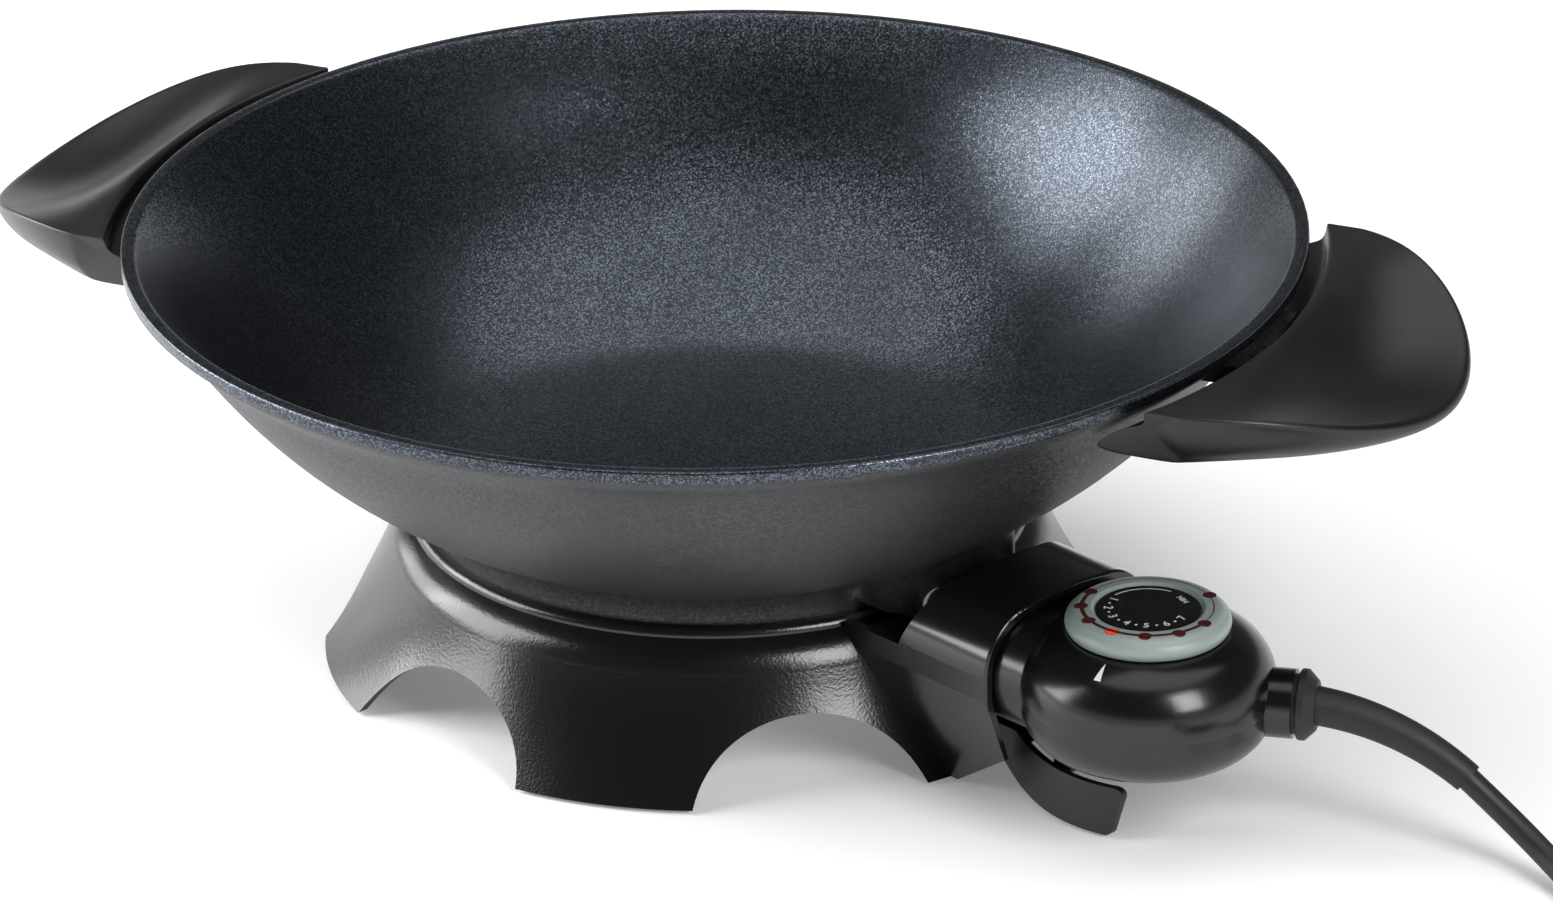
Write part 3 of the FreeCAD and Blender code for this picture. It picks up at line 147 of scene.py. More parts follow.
bpy.context.scene.view_settings.view_transform = "Standard"
camera_data = bpy.data.cameras.new("camera")
camera_data.sensor_width = 36.0
camera_data.lens = 185.45
camera = bpy.data.objects.new("camera", camera_data)
camera.location = (-1.48501, -1.62915, 1.06677)
camera.rotation_euler = [math.radians(a) for a in (65.4679, 0.8321, -43.1802)]
bpy.context.scene.collection.objects.link(camera)
bpy.context.scene.camera = camera

# ---------------------------------------------------------------- cast bowl
# Die-cast aluminium with its boss, foot ring and two tongues. It is blasted, then sprayed: inside and
# over the rim with a dark non-stick coat full of mica flakes, outside with a grey heat-proof coat.
# The flared lip runs out of the wall in one soft curve, and the rim's edges are just broken.


def flake_coat(name, dark, light, flake, tilt, roughness, metallic):
    """Sprayed coat with mica or metal flakes: each flake is a cell that leans its own way and glints."""
    mist_patch = 24.0
    finish, tree, output = new_finish(name)
    place = add(tree, "ShaderNodeTexCoord")
    flakes = add(tree, "ShaderNodeTexVoronoi",
                 {"Vector": place.outputs["Object"], "Scale": 1000.0 / flake})
    shade = add(tree, "ShaderNodeSeparateColor", {"Color": flakes.outputs["Color"]})
    bright = add(tree, "ShaderNodeMapRange", {"Value": shade.outputs["Red"], "From Min": 0.45})
    mist = add(tree, "ShaderNodeTexNoise",
               {"Vector": place.outputs["Object"], "Scale": 1000.0 / mist_patch, "Detail": 2.0})
    thick = add(tree, "ShaderNodeMapRange", {"Value": mist.outputs["Fac"], "From Min": 0.3, "From Max": 0.7,
                                             "To Min": 0.7, "To Max": 1.0})
    share = add(tree, "ShaderNodeMath", {0: bright.outputs[0], 1: thick.outputs[0]},
                operation="MULTIPLY")
    colour = add(tree, "ShaderNodeMix", {0: share.outputs[0], 6: linear(dark), 7: linear(light)},
                 data_type="RGBA")
    lean = add(tree, "ShaderNodeVectorMath", {0: flakes.outputs["Color"], 1: (0.5, 0.5, 0.5)},
               operation="SUBTRACT")
    small = add(tree, "ShaderNodeVectorMath", {0: lean.outputs[0], "Scale": tilt}, operation="SCALE")
    surface = add(tree, "ShaderNodeNewGeometry")
    leaning = add(tree, "ShaderNodeVectorMath", {0: surface.outputs["Normal"], 1: small.outputs[0]},
                  operation="ADD")
    facing = add(tree, "ShaderNodeVectorMath", {0: leaning.outputs[0]}, operation="NORMALIZE")
    coat = add(tree, "ShaderNodeBsdfPrincipled",
               {"Base Color": colour.outputs[2], "Metallic": metallic, "Roughness": roughness, "IOR": 1.42,
                "Normal": facing.outputs[0]})
    tree.links.new(coat.outputs[0], output.inputs[0])
    return finish


# Dark PTFE with mica: near black head on, a blue-grey sheen with fine sparkle towards a lamp. Real mica
# is under 0.1 mm; it is drawn at 0.4 mm so that it shows.
mica_ptfe = flake_coat("mica_filled_ptfe", "#34383E", "#747B85", 0.4, 0.10, 0.27, 0.95)
# Heat-proof silicone spray over the outside: flat grey, and fine as emery. Drawn at 0.6 mm.
grey_silicone = flake_coat("grey_silicone_spray", "#3C3D3F", "#56575A", 0.6, 0.14, 0.45, 0.7)

MM = 0.001
rim_edge = Vector((173.5, 135.6)) * MM
foot_joint = Vector((91.0, 55.0)) * MM
lip_joint = Vector((165.5, 121.5)) * MM
wall_bulge = 7.2 * MM
wall_thickness = 4.0 * MM
cooking_floor = 57.5 * MM
floor_blend = 60.0 * MM
rim_coat_depth = 3.6 * MM
edge_break = 0.7 * MM
crease = math.radians(28)

chord = lip_joint - foot_joint
outwards = Vector((chord.y, -chord.x)).normalized()
wall_curve = (chord.length ** 2 / 4 + wall_bulge ** 2) / (2 * wall_bulge)
wall_centre = (foot_joint + lip_joint) / 2 - outwards * (wall_curve - wall_bulge)
inner_curve = wall_curve - wall_thickness
blend_height = cooking_floor + floor_blend
blend_reach = math.sqrt((inner_curve - floor_blend) ** 2 - (blend_height - wall_centre.y) ** 2)
blend_centre = Vector((wall_centre.x + blend_reach, blend_height))


def arc_points(centre, radius, start, end, step):
    """Points along an arc of a profile, from one angle to another."""
    count = max(2, round(abs(end - start) * radius / step))
    return [centre + Vector((math.cos(a), math.sin(a))) * radius
            for a in (start + (end - start) * k / count for k in range(count + 1))]


def run_points(start, end, step):
    """Points along a straight run of a profile."""
    count = max(2, round((end - start).length / step))
    return [start.lerp(end, k / count) for k in range(count + 1)]


lip_angle = math.atan2(lip_joint.y - wall_centre.y, lip_joint.x - wall_centre.x)
blend_angle = math.atan2(blend_centre.y - wall_centre.y, blend_centre.x - wall_centre.x)
lip_start = wall_centre + (lip_joint - wall_centre).normalized() * inner_curve
profile_step, floor_step = 2.0 * MM, 8.0 * MM
centre_hole = 2.0 * MM
softening_passes = 45
profile = run_points(rim_edge, lip_start, profile_step)
profile += arc_points(wall_centre, inner_curve, lip_angle, blend_angle, profile_step)[1:]
profile += arc_points(blend_centre, floor_blend, blend_angle, math.radians(-90), profile_step)[1:]
profile += run_points(profile[-1], Vector((centre_hole, cooking_floor)), floor_step)[1:]
for _ in range(softening_passes):
    softened = [before * 0.25 + here * 0.5 + after * 0.25
                for before, here, after in zip(profile, profile[1:], profile[2:])]
    profile[1:-1] = softened

# The cooking faces, from the middle of the floor out to the first sharp edge, give way to that profile.
shape = bmesh.new()
shape.from_mesh(nodes["pan_bowl"].data)
bmesh.ops.remove_doubles(shape, verts=shape.verts[:], dist=0.002 * MM)
shape.faces.ensure_lookup_table()
floor_faces = [f for f in shape.faces
               if f.normal.z > 0.99 and abs(f.calc_center_median().z - cooking_floor) < 0.01 * MM]
waiting = [min(floor_faces, key=lambda f: f.calc_center_median().xy.length)]
cooking_faces = set(waiting)
while waiting:
    face = waiting.pop()
    for edge in face.edges:
        if len(edge.link_faces) == 2 and edge.calc_face_angle() < crease:
            for neighbour in edge.link_faces:
                if neighbour not in cooking_faces:
                    cooking_faces.add(neighbour)
                    waiting.append(neighbour)
bmesh.ops.delete(shape, geom=list(cooking_faces), context="FACES")
for face in shape.faces:
    middle = face.calc_center_median()
    at_rim = middle.xy.length > rim_edge.x - 0.5 * MM and middle.z > rim_edge.y - rim_coat_depth
    face.material_index = 0 if at_rim and face.normal.z > -0.1 else 1
edge_ring = [edge for edge in shape.edges
             if edge.is_boundary and all(abs(v.co.xy.length - rim_edge.x) < 0.1 * MM for v in edge.verts)]
here = profile[0]
for ahead in profile[1:]:
    made = bmesh.ops.extrude_edge_only(shape, edges=edge_ring)["geom"]
    points = [g for g in made if isinstance(g, bmesh.types.BMVert)]
    bmesh.ops.scale(shape, verts=points, vec=(ahead.x / here.x, ahead.x / here.x, 1))
    bmesh.ops.translate(shape, verts=points, vec=(0, 0, ahead.y - here.y))
    for g in made:
        if isinstance(g, bmesh.types.BMFace):
            g.material_index = 0
    edge_ring = [g for g in made if isinstance(g, bmesh.types.BMEdge) and g.is_boundary]
    here = ahead
bmesh.ops.holes_fill(shape, edges=edge_ring, sides=0)
bmesh.ops.recalc_face_normals(shape, faces=shape.faces[:])
on_rim = {v for v in shape.verts
          if abs(v.co.z - rim_edge.y) < 0.01 * MM and v.co.xy.length > rim_edge.x - 0.2 * MM}
rim_corners = [edge for edge in shape.edges
               if on_rim.issuperset(edge.verts) and edge.calc_face_angle(0) > math.radians(25)]
bmesh.ops.bevel(shape, geom=rim_corners, offset=edge_break, affect="EDGES", segments=3, profile=0.5,
                material=-1)
for face in shape.faces:
    face.smooth = True
bowl = place_object("cast_bowl", shape, mica_ptfe, grey_silicone)
bowl.data.set_sharp_from_angle(angle=crease)
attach(bowl, "pan_and_base")
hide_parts("pan_bowl")

# ---------------------------------------------------------------- element, beads and contact pins
# A tubular steel element cast into the floor, with sintered ceramic beads at its ends and
# nickel-plated pins pressed through them into the socket.


def dress(finish, *names):
    """Gives these CAD nodes a finish."""
    for name in names:
        for slot in nodes[name].material_slots:
            slot.material = finish


def metal(name, dark, light, scratch, roughness, stretch=(1.0, 1.0, 1.0)):
    """Bare or plated metal: fine scratches, drawn out along one way, that change its tone and gloss."""
    finish, tree, output = new_finish(name)
    place = add(tree, "ShaderNodeTexCoord")
    drawn = add(tree, "ShaderNodeMapping", {"Vector": place.outputs["Object"], "Scale": stretch})
    lines = add(tree, "ShaderNodeTexNoise",
                {"Vector": drawn.outputs[0], "Scale": 1000.0 / scratch, "Detail": 4.0})
    colour = add(tree, "ShaderNodeMix", {0: lines.outputs["Fac"], 6: linear(dark), 7: linear(light)},
                 data_type="RGBA")
    gloss = add(tree, "ShaderNodeMapRange",
                {"Value": lines.outputs["Fac"], "From Min": 0.3, "From Max": 0.7,
                 "To Min": roughness * 0.7, "To Max": roughness * 1.3})
    dent = add(tree, "ShaderNodeBump",
               {"Height": lines.outputs["Fac"], "Strength": 0.4, "Distance": 0.00003})
    skin = add(tree, "ShaderNodeBsdfPrincipled",
               {"Base Color": colour.outputs[2], "Metallic": 1.0, "Roughness": gloss.outputs[0],
                "Normal": dent.outputs[0]})
    tree.links.new(skin.outputs[0], output.inputs[0])
    return finish


# Stainless element tube, blued and browned by heat.
heated_steel = metal("heat_tinted_stainless", "#6A5F50", "#8C8478", 6.0, 0.38)
# Nickel plate on brass: warm white and bright, with wiping marks along the pin.
nickel_plate = metal("nickel_plated_brass", "#A9A396", "#CFC9BC", 1.2, 0.18, (1.0, 0.15, 1.0))

# Steatite ceramic: off-white, half glazed, and a little sooty.
steatite, tree, output = new_finish("sintered_steatite")
place = add(tree, "ShaderNodeTexCoord")
cloud = add(tree, "ShaderNodeTexNoise",
            {"Vector": place.outputs["Object"], "Scale": 1000.0 / 3.0, "Detail": 3.0})
colour = add(tree, "ShaderNodeMix", {0: cloud.outputs["Fac"], 6: linear("#CFC8B8"), 7: linear("#EAE5DA")},
             data_type="RGBA")
skin = add(tree, "ShaderNodeBsdfPrincipled",
           {"Base Color": colour.outputs[2], "Roughness": 0.45, "IOR": 1.6})
tree.links.new(skin.outputs[0], output.inputs[0])

dress(heated_steel, "heating_element")
dress(steatite, "terminal_beads", "terminal_block")
dress(nickel_plate, "terminal_pins")

# ---------------------------------------------------------------- ring base
# One injection moulding in black heat-proof plastic: a six-footed skirt, the seat and the bridge.
# The mould is spark-eroded on the skirt, which leaves a fine orange-peel, and polished on the bridge.
# The bridge is the part within these half widths, which grow with height, and in front of bridge_back.
bridge_foot, bridge_top = 0.0012, 0.040
bridge_half_at_foot, bridge_half_at_top = 0.0195, 0.0335
bridge_back = -0.096
pit_size, flow_size = 0.9, 40.0
base_black, tree, output = new_finish("spark_eroded_black_pbt")
place = add(tree, "ShaderNodeTexCoord")
split = add(tree, "ShaderNodeSeparateXYZ", {"Vector": place.outputs["Object"]})
sideways = add(tree, "ShaderNodeMath", {0: split.outputs["X"]}, operation="ABSOLUTE")
bridge_side = add(tree, "ShaderNodeMapRange",
                  {"Value": split.outputs["Z"], "From Min": bridge_foot, "From Max": bridge_top,
                   "To Min": bridge_half_at_foot, "To Max": bridge_half_at_top})
within = add(tree, "ShaderNodeMath", {0: sideways.outputs[0], 1: bridge_side.outputs[0]},
             operation="LESS_THAN")
out_front = add(tree, "ShaderNodeMath", {0: split.outputs["Y"], 1: bridge_back}, operation="LESS_THAN")
on_bridge = add(tree, "ShaderNodeMath", {0: within.outputs[0], 1: out_front.outputs[0]},
                operation="MULTIPLY")
pits = add(tree, "ShaderNodeTexNoise",
           {"Vector": place.outputs["Object"], "Scale": 1000.0 / pit_size, "Detail": 1.5})
flow = add(tree, "ShaderNodeTexNoise",
           {"Vector": place.outputs["Object"], "Scale": 1000.0 / flow_size, "Detail": 2.0})
colour = add(tree, "ShaderNodeMix", {0: flow.outputs["Fac"], 6: linear("#08080A"), 7: linear("#111114")},
             data_type="RGBA")
gloss = add(tree, "ShaderNodeMix", {0: on_bridge.outputs[0], 2: 0.22, 3: 0.17})
depth = add(tree, "ShaderNodeMix", {0: on_bridge.outputs[0], 2: 0.5, 3: 0.04})
dent = add(tree, "ShaderNodeBump",
           {"Height": pits.outputs["Fac"], "Strength": depth.outputs[0], "Distance": 0.00012})
skin = add(tree, "ShaderNodeBsdfPrincipled",
           {"Base Color": colour.outputs[2], "Roughness": gloss.outputs[0], "IOR": 1.57,
            "Normal": dent.outputs[0]})
tree.links.new(skin.outputs[0], output.inputs[0])
dress(base_black, "base_shell")

# ---------------------------------------------------------------- rubber pads, base screws and heat shield
# Nitrile pads pushed into the six feet, three zinc-plated screws up into the bowl, and a pressed
# aluminised steel disc that they clamp under the deck.


def moulded(name, dark, light, grain, depth, glossiest, mattest, ior):
    """Moulded plastic or rubber: fine grain of a real depth, and slow changes of tone and gloss."""
    flow_patch = 30.0
    finish, tree, output = new_finish(name)
    place = add(tree, "ShaderNodeTexCoord")
    fine = add(tree, "ShaderNodeTexNoise",
               {"Vector": place.outputs["Object"], "Scale": 1000.0 / grain, "Detail": 3.0})
    slow = add(tree, "ShaderNodeTexNoise",
               {"Vector": place.outputs["Object"], "Scale": 1000.0 / flow_patch, "Detail": 3.0})
    colour = add(tree, "ShaderNodeMix", {0: slow.outputs["Fac"], 6: linear(dark), 7: linear(light)},
                 data_type="RGBA")
    gloss = add(tree, "ShaderNodeMapRange", {"Value": slow.outputs["Fac"], "From Min": 0.3, "From Max": 0.7,
                                             "To Min": glossiest, "To Max": mattest})
    dent = add(tree, "ShaderNodeBump",
               {"Height": fine.outputs["Fac"], "Strength": 0.5, "Distance": depth * MM})
    skin = add(tree, "ShaderNodeBsdfPrincipled",
               {"Base Color": colour.outputs[2], "Roughness": gloss.outputs[0], "IOR": ior,
                "Normal": dent.outputs[0]})
    tree.links.new(skin.outputs[0], output.inputs[0])
    return finish


# Nitrile rubber: dull black that picks up grey dust.
pad_rubber = moulded("nitrile_rubber", "#151515", "#232323", 0.6, 0.05, 0.7, 0.85, 1.5)
# Zinc plate: cool grey, lightly milky.
zinc_plate = metal("zinc_plated_steel", "#8B8E92", "#B4B7BB", 0.8, 0.32)
# Aluminised sheet: pale spangle with drawing marks.
aluminised_sheet = metal("aluminised_steel_sheet", "#A0A2A4", "#C4C5C6", 3.0, 0.36)
dress(pad_rubber, "rubber_feet")
dress(zinc_plate, "base_screws", "lever_pin", "lever_spring", "shell_screws", "handle_screws")
dress(aluminised_sheet, "heat_shield", "thermostat_frame")

# ---------------------------------------------------------------- release lever
# A curved blade of black acetal that turns on an upright pin under the bridge and pushes the control
# off its contacts. Ejected from a polished mould, it is smooth with a soft sheen.
acetal = moulded("black_acetal", "#1E1E21", "#27272A", 1.6, 0.02, 0.34, 0.42, 1.48)
dress(acetal, "release_lever")

# ---------------------------------------------------------------- plug-in control
# Two glossy black shells, screwed together from below, round a thermostat on a folded frame. The nose
# that enters the socket is brown-black phenolic with brass clips and a ground probe.
control_black = moulded("high_gloss_black_abs", "#08080A", "#0C0C0E", 9.0, 0.03, 0.20, 0.25, 1.54)
dress(control_black, "control_upper_shell", "control_lower_shell")
# Phenolic: brown-black and dry, with a wood-flour mottle.
phenolic = moulded("wood_filled_phenolic", "#1A1512", "#2B231D", 0.8, 0.04, 0.45, 0.55, 1.6)
dress(phenolic, "nose_insulator", "dial_spindle")
# Phosphor bronze springs and blades: warm and half bright.
spring_bronze = metal("phosphor_bronze", "#A8753A", "#CDA05E", 1.0, 0.28)
dress(spring_bronze, "contact_clips", "bimetal_blade", "contact_blades")
# Centreless-ground stainless: rings round the rod.
ground_probe = metal("ground_stainless", "#9A9B9D", "#C9CACC", 0.9, 0.22, (1.0, 6.0, 1.0))
dress(ground_probe, "probe_rod")

# Neon indicator: clear glass with an orange glow inside.
neon_glass, tree, output = new_finish("neon_lamp_glass")
place = add(tree, "ShaderNodeTexCoord")
haze = add(tree, "ShaderNodeTexNoise", {"Vector": place.outputs["Object"], "Scale": 1000.0 / 2.0})
glow = add(tree, "ShaderNodeMix", {0: haze.outputs["Fac"], 6: linear("#FF6A1C"), 7: linear("#FFB070")},
           data_type="RGBA")
skin = add(tree, "ShaderNodeBsdfPrincipled",
           {"Base Color": glow.outputs[2], "Roughness": 0.05, "IOR": 1.5, "Emission Color": glow.outputs[2],
            "Emission Strength": 1.5})
tree.links.new(skin.outputs[0], output.inputs[0])
dress(neon_glass, "indicator_lamp")

# White pointer, pad-printed on the upper shell beside the dial: a slim triangle that points at it.
# Two-part ink: dense white with a slight tooth.
dial_middle = Vector((0, -0.1816, 0))
pad_ink = moulded("white_pad_print_ink", "#D8D9D8", "#ECECEA", 0.5, 0.01, 0.45, 0.55, 1.5)
pointer_angle = math.radians(196.6)
pointer_tip, pointer_root, pointer_half = 26.0 * MM, 31.2 * MM, 1.0 * MM
tip_half = 0.05 * MM
ink_thickness = 0.06 * MM
pointer_rows = 5
above_shell = Vector((0, 0, 0.1))
shell_surface = BVHTree.FromPolygons([v.co for v in nodes["control_upper_shell"].data.vertices],
                                     [p.vertices for p in nodes["control_upper_shell"].data.polygons])
pointer_way = Vector((math.cos(pointer_angle), math.sin(pointer_angle), 0))
pointer_side = Vector((-pointer_way.y, pointer_way.x, 0))
shape = bmesh.new()
rows = []
for k in range(pointer_rows + 1):
    share = k / pointer_rows
    reach = pointer_tip + (pointer_root - pointer_tip) * share
    half = tip_half + pointer_half * share
    spine = dial_middle + pointer_way * reach
    rows.append([shape.verts.new(spine + pointer_side * side * half + above_shell) for side in (-1, 1)])
for (a, b), (c, d) in zip(rows, rows[1:]):
    shape.faces.new((a, b, d, c))
for point in shape.verts:
    point.co = shell_surface.ray_cast(point.co, Vector((0, 0, -1)))[0] + Vector((0, 0, ink_thickness))
bmesh.ops.recalc_face_normals(shape, faces=shape.faces[:])
made = bmesh.ops.extrude_face_region(shape, geom=shape.faces[:])["geom"]
lower = [g for g in made if isinstance(g, bmesh.types.BMVert)]
bmesh.ops.translate(shape, verts=lower, vec=(0, 0, -2 * ink_thickness))
bmesh.ops.recalc_face_normals(shape, faces=shape.faces[:])
pointer = place_object("dial_pointer_mark", shape, pad_ink)
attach(pointer, "control")

# ---------------------------------------------------------------- dial
# A grey-green ring with eight windows, over a dark red light pipe, round a glossy black disc that
# is printed with the numbers. A neon under the ring lights the window that stands over it.
# Ring: soft satin, so the edge carries a wide pale highlight. Disc: polished, so it stays deep black.
ring_grey = moulded("satin_grey_green_abs", "#8C9894", "#98A39F", 0.5, 0.02, 0.34, 0.42, 1.53)
dress(ring_grey, "dial_ring")
disc_black = moulded("polished_black_abs", "#060607", "#0A0A0B", 8.0, 0.01, 0.07, 0.10, 1.54)
dress(disc_black, "dial_disc")

window_circle = 19.3 * MM
window_step = 29.5
first_window = 103.6
windows = [first_window + window_step * k for k in range(7)]
last_window = 338.6
lit_window = windows[3]
lens_top = 71.0 * MM

# Dark red acrylic light pipe: deep and glassy, with one window glowing orange.
ruby_acrylic, tree, output = new_finish("ruby_acrylic")
place = add(tree, "ShaderNodeTexCoord")
lit_angle = math.radians(lit_window)
lit_way = Vector((math.cos(lit_angle), math.sin(lit_angle), 0))
lit_place = dial_middle + lit_way * window_circle + Vector((0, 0, lens_top))
reach = add(tree, "ShaderNodeVectorMath", {0: place.outputs["Object"], 1: lit_place}, operation="DISTANCE")
lit = add(tree, "ShaderNodeMapRange",
          {"Value": reach.outputs["Value"], "From Min": 1.4 * MM, "From Max": 2.6 * MM,
           "To Min": 1.0, "To Max": 0.0})
streak = add(tree, "ShaderNodeTexNoise", {"Vector": place.outputs["Object"], "Scale": 1000.0 / 2.0})
red = add(tree, "ShaderNodeMix", {0: streak.outputs["Fac"], 6: linear("#3A0807"), 7: linear("#560F0B")},
          data_type="RGBA")
power = add(tree, "ShaderNodeMath", {0: lit.outputs[0], 1: 0.9}, operation="MULTIPLY")
skin = add(tree, "ShaderNodeBsdfPrincipled",
           {"Base Color": red.outputs[2], "Roughness": 0.06, "IOR": 1.49,
            "Emission Color": linear("#F0461A"), "Emission Strength": power.outputs[0]})
tree.links.new(skin.outputs[0], output.inputs[0])
dress(ruby_acrylic, "dial_lens_ring")

disc_top = 70.52 * MM
ring_top = 71.02 * MM


def ring_band(shape, radius, width, start, end, height):
    """A thin printed band round the dial's middle, as a closed strip."""
    step, depth = 2.5, 0.1 * MM
    count = max(2, round(abs(end - start) / step))
    first = dial_middle + Vector((radius - width / 2, 0, height))
    corners = [shape.verts.new(first + Vector((across, 0, up)))
               for across, up in ((0, -depth), (width, -depth), (width, 0), (0, 0))]
    edges = [shape.edges.new((corners[i], corners[(i + 1) % 4])) for i in range(4)]
    turn = Matrix.Rotation(math.radians(start), 4, "Z")
    bmesh.ops.transform(shape, verts=corners, matrix=Matrix.Translation(dial_middle) @ turn @
                        Matrix.Translation(-dial_middle))
    shape.faces.new(corners)
    swept = bmesh.ops.spin(shape, geom=edges, cent=dial_middle, axis=(0, 0, 1),
                           angle=math.radians(end - start), steps=count)["geom_last"]
    shape.faces.new([g for g in swept if isinstance(g, bmesh.types.BMVert)])
    bmesh.ops.recalc_face_normals(shape, faces=shape.faces[:])


# Scale band that joins the windows, and a hairline that goes on round the back. Brown-red ink.
scale_ink = moulded("brown_red_scale_ink", "#35120F", "#4A1B16", 0.5, 0.01, 0.35, 0.45, 1.5)
band_circle, band_width = 19.1 * MM, 1.3 * MM
hairline_circle, hairline = 18.9 * MM, 0.35 * MM
shape = bmesh.new()
ring_band(shape, band_circle, band_width, windows[0], windows[-1], ring_top)
ring_band(shape, hairline_circle, hairline, windows[-1], last_window, ring_top)
ring_band(shape, hairline_circle, hairline, last_window, windows[0] + 360, ring_top)
scale_band = place_object("dial_scale_band", shape, scale_ink)
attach(scale_band, "dial")

# Numbers 1 to 7, a dot between each two, and an arc from 1 round to the low setting's mark.
number_circle = 11.6 * MM
number_size, word_size = 3.9 * MM, 2.6 * MM
dot_radius = 0.42 * MM
arc_circle, arc_start, arc_end = 12.9 * MM, 92.0, 14.0
print_height = 0.05 * MM
letter_swell = 0.03 * MM
shape = bmesh.new()


def printed(words, degrees, radius, size):
    """Puts letters on the disc, upright to someone who faces the dial across its middle."""
    text = bpy.data.curves.new("print", "FONT")
    text.body = words
    text.size = size
    text.align_x = "CENTER"
    text.align_y = "CENTER"
    text.extrude = print_height / 2
    text.offset = letter_swell
    carrier = bpy.data.objects.new("print", text)
    flat = bpy.data.meshes.new_from_object(carrier)
    angle = math.radians(degrees)
    spot = dial_middle + Vector((math.cos(angle) * radius, math.sin(angle) * radius, disc_top))
    flat.transform(Matrix.Translation(spot) @ Matrix.Rotation(angle + math.pi / 2, 4, "Z"))
    shape.from_mesh(flat)
    bpy.data.objects.remove(carrier)
    bpy.data.curves.remove(text)
    bpy.data.meshes.remove(flat)


for k, degrees in enumerate(windows):
    printed(str(k + 1), degrees, number_circle, number_size)
for before, after in zip(windows, windows[1:]):
    middle = math.radians((before + after) / 2)
    dot = Matrix.Translation(dial_middle + Vector((math.cos(middle), math.sin(middle), 0)) * number_circle +
                             Vector((0, 0, disc_top)))
    bmesh.ops.create_cone(shape, cap_ends=True, segments=12, radius1=dot_radius, radius2=dot_radius,
                          depth=print_height, matrix=dot)
printed("MIN", last_window + 6.0, number_circle, word_size)
ring_band(shape, arc_circle, hairline, arc_start, arc_end, disc_top + print_height / 2)
markings = place_object("dial_numbers", shape, pad_ink)
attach(markings, "dial")

# ---------------------------------------------------------------- lead, bend relief and plug
# PVC three-core mains lead, 7.2 mm across. It leaves the bend relief, drops to the table and runs to
# its put-away length, which is wound into a neat round coil with the moulded plug beside it.
black_pvc = moulded("black_pvc_sheath", "#0F0F0F", "#161617", 1.1, 0.05, 0.45, 0.55, 1.53)
# Thermoplastic rubber of the grommet and bend relief: a shade duller than the lead.
relief_rubber = moulded("black_tpe_relief", "#131314", "#1D1D1E", 0.7, 0.04, 0.50, 0.60, 1.5)
dress(relief_rubber, "cord_flange", "cord_sleeve", "plug_body")
dress(nickel_plate, "plug_pins", "plug_earth_clips")

lead_diameter = 7.2 * MM
lead_route = [Vector(p) * MM for p in (
    (50.21, -261.05, 26.27),
    (54.34, -271.28, 17.65),
    (56.5, -286.0, 8.2),
    (52.5, -303.0, 3.8),
    (42.5, -317.0, 3.8),
    (36.0, -333.0, 3.8),
    (33.0, -350.0, 3.8),
)]
coil_middle = Vector((-15.44, -367.85, 0.0)) * MM
turn_radii = [r * MM for r in (45.1, 37.3, 29.5, 29.5, 37.3, 45.1)]
turn_heights = [h * MM for h in (3.8, 3.8, 3.8, 11.0, 11.0, 11.0)]
points_per_turn = 14
coil_start = math.radians(-10)
coil_sweep = 5 * 2 * math.pi + math.radians(80)
plug_lead = 26.0 * MM


def between(values, turns):
    """A value that holds through most of each turn and eases to the next one's in its last third."""
    step = min(int(turns), len(values) - 2)
    share = min(max(0.0, (turns - step - 0.66) / 0.34), 1.0)
    return values[step] + (values[step + 1] - values[step]) * share * share * (3 - 2 * share)


steps = int(coil_sweep / (2 * math.pi) * points_per_turn)
for k in range(steps + 1):
    turned = coil_sweep * k / steps
    turns = turned / (2 * math.pi)
    angle = coil_start - turned
    spoke = Vector((math.cos(angle), math.sin(angle), 0)) * between(turn_radii, turns)
    lead_route.append(coil_middle + spoke + Vector((0, 0, between(turn_heights, turns))))
coil_end = lead_route[-1]
lead_route += [coil_end - Vector((plug_lead / 2, 0, 0)), coil_end - Vector((plug_lead, 0, 0))]

lead_curve = bpy.data.curves.new("lead", "CURVE")
lead_curve.dimensions = "3D"
lead_curve.bevel_depth = lead_diameter / 2
lead_curve.bevel_resolution = 5
lead_curve.resolution_u = 8
lead_curve.use_fill_caps = True
line = lead_curve.splines.new("NURBS")
line.points.add(len(lead_route) - 1)
for point, place in zip(line.points, lead_route):
    point.co = (*place, 1.0)
line.order_u = 3
line.use_endpoint_u = True
lead = bpy.data.objects.new("lead", lead_curve)
lead_curve.materials.append(black_pvc)
bpy.context.scene.collection.objects.link(lead)
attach(lead, "control")
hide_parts("cord_tube", "cord_coil")

# ---------------------------------------------------------------- handles
# Compression-moulded phenolic ears, screwed to the bowl's tongues from below. Each has a ridge along the
# rim, a scooped top and a thick soft edge that tucks in below. The mould is vapour blasted.
# Satin phenolic: black that takes broad soft reflections and no sharp ones.
handle_black = moulded("satin_black_phenolic", "#0A0A0B", "#101011", 0.7, 0.04, 0.30, 0.38, 1.5)

# Sizes in mm. Across is along the rim from the handle's middle, and out is away from the bowl.
rim_radius = 177.5
half_span, handle_length = 74.5, 58.0
lower_half_span, lower_length = 68.0, 57.0
top_taper, lower_taper = 1.25, 1.7
ridge_height, ridge_width = 133.8, 8.0
scoop_depth, scoop_end, scoop_hold = 15.0, 38.0, 1.5
edge_drop = 2.2
underside, tip_underside = 116.3, 112.5
underside_falls_from, underside_falls_over = 12.0, 46.0
edge_foot_lift = 2.0
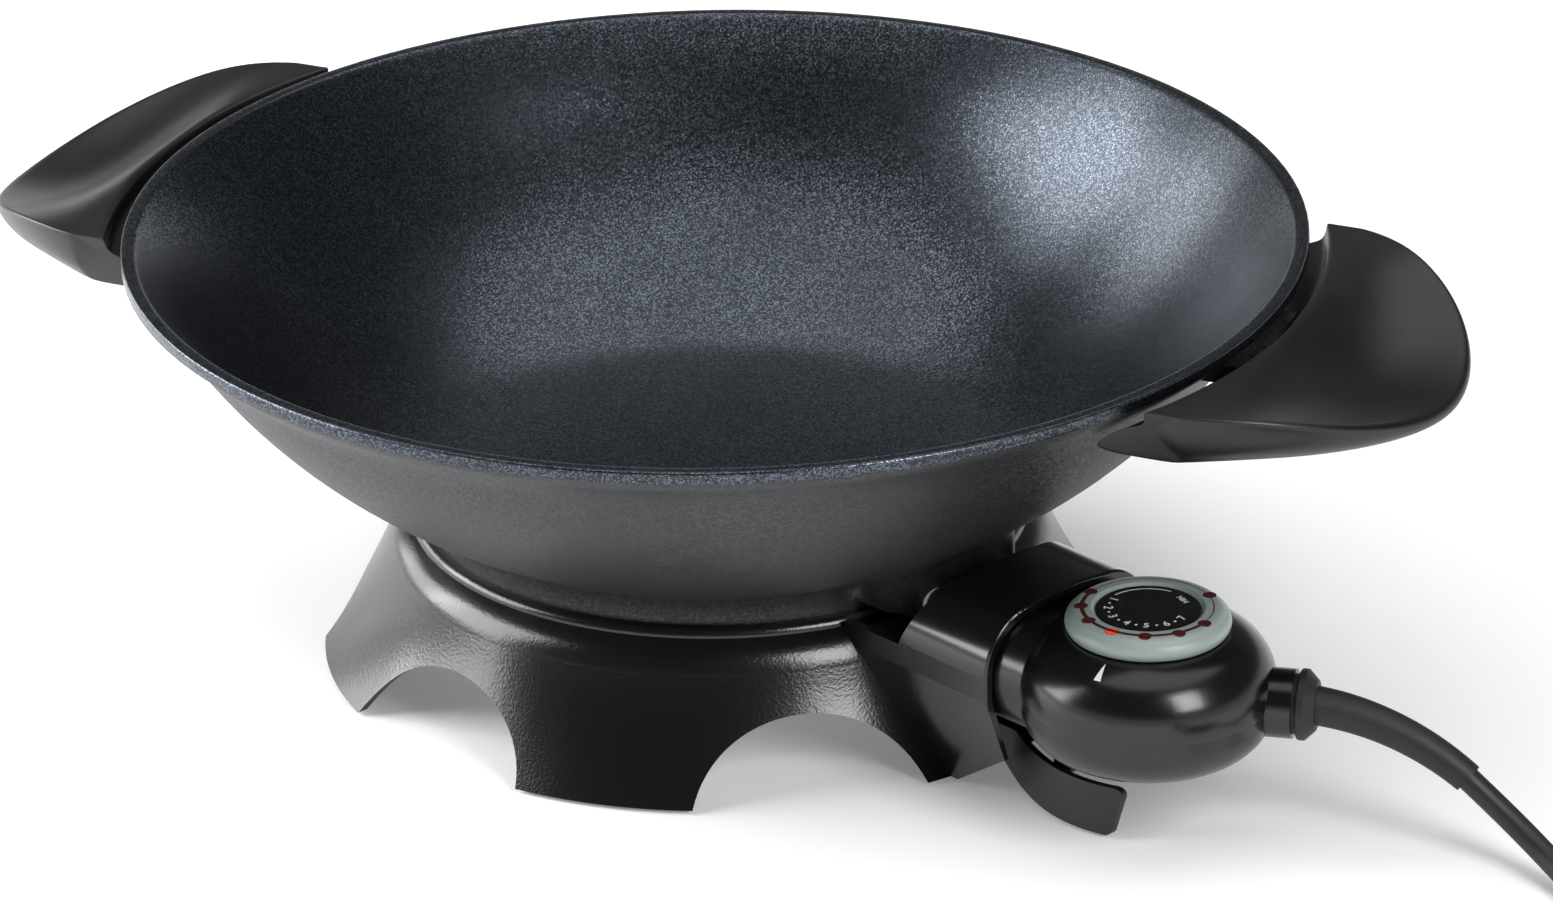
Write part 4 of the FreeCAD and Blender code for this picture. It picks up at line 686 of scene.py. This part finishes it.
# Inner side, from the ridge down along the channel, the lip and the wall: radius and height.
bowl_side = ((182.9, 128.6), (178.2, 127.8), (171.0, 122.6), (166.0, 117.2))
top_shares = (0.0, 0.07, 0.18, 0.30, 0.44, 0.60, 0.76, 0.90, 0.97)
lower_shares = (1.0, 0.93, 0.6, 0.25)
fan = (-90, -87, -80, -70, -60, -50, -40, -30, -20, -10, 0, 10, 20, 30, 40, 50, 60, 70, 80, 87, 90)


def at_radius(radius, across):
    """How far out past the rim a point lies that is this far from the bowl's axis."""
    return math.sqrt(radius ** 2 - across ** 2) - rim_radius


def top_height(across, out):
    """Height of the top: level on the ridge, then scooped, deepest half way along the rim."""
    hold = max(0.0, 1 - (across / half_span) ** 2) ** scoop_hold
    share = min(max((out - ridge_width) / (scoop_end - ridge_width), 0.0), 1.0)
    return ridge_height - scoop_depth * hold * math.sin(share * math.pi / 2)


def handle_section(sweep):
    """Closed loop of points, across, out and up, on one ray of the handle's fan."""
    side, front = math.sin(sweep), math.cos(sweep)
    across, out = half_span * side, handle_length * front ** top_taper
    lower_across, lower_out = lower_half_span * side, lower_length * front ** lower_taper
    root = at_radius(bowl_side[0][0], across)
    points = []
    for share in top_shares:
        place = root + (out - root) * share
        points.append((across, place, top_height(across, place)))
    edge = top_height(across, out)
    points.append((across, out, edge - edge_drop))
    points.append((across * 0.6 + lower_across * 0.4, out * 0.6 + lower_out * 0.4,
                   edge * 0.45 + tip_underside * 0.55))
    lower_root = at_radius(bowl_side[-1][0], lower_across)
    for share in lower_shares:
        place = lower_root + (lower_out - lower_root) * share
        fall = min(max((place - underside_falls_from) / underside_falls_over, 0.0), 1.0)
        height = underside + (tip_underside - underside) * fall
        points.append((lower_across, place, height + (edge_foot_lift if share == 1.0 else 0.0)))
    for radius, height in reversed(bowl_side):
        spread = lower_across + (across - lower_across) * (height - underside) / (ridge_height - underside)
        points.append((spread, at_radius(radius, across), height))
    return points


def make_handle(name, turn):
    """One handle: its sections bridged into a closed shell, turned to its place and softened."""
    shape = bmesh.new()
    loops = []
    for degrees in fan:
        points = [shape.verts.new(Vector((across, -rim_radius - out, up)) * MM)
                  for across, out, up in handle_section(math.radians(degrees))]
        loops.append([shape.edges.new((point, points[(i + 1) % len(points)]))
                      for i, point in enumerate(points)])
    for before, after in zip(loops, loops[1:]):
        bmesh.ops.bridge_loops(shape, edges=before + after)
    bmesh.ops.holes_fill(shape, edges=loops[0] + loops[-1], sides=0)
    about_axis = Matrix.Rotation(turn, 3, "Z")
    bmesh.ops.rotate(shape, verts=shape.verts[:], cent=(0, 0, 0), matrix=about_axis)
    bmesh.ops.recalc_face_normals(shape, faces=shape.faces[:])
    for face in shape.faces:
        face.smooth = True
    handle = place_object(name + "_soft", shape, handle_black)
    softened = handle.modifiers.new("softened", "SUBSURF")
    softened.levels = softened.render_levels = 2
    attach(handle, "pan_and_base")
    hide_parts(name)


handle_turn = math.radians(22.8)
make_handle("right_handle", handle_turn)
make_handle("left_handle", handle_turn + math.pi)
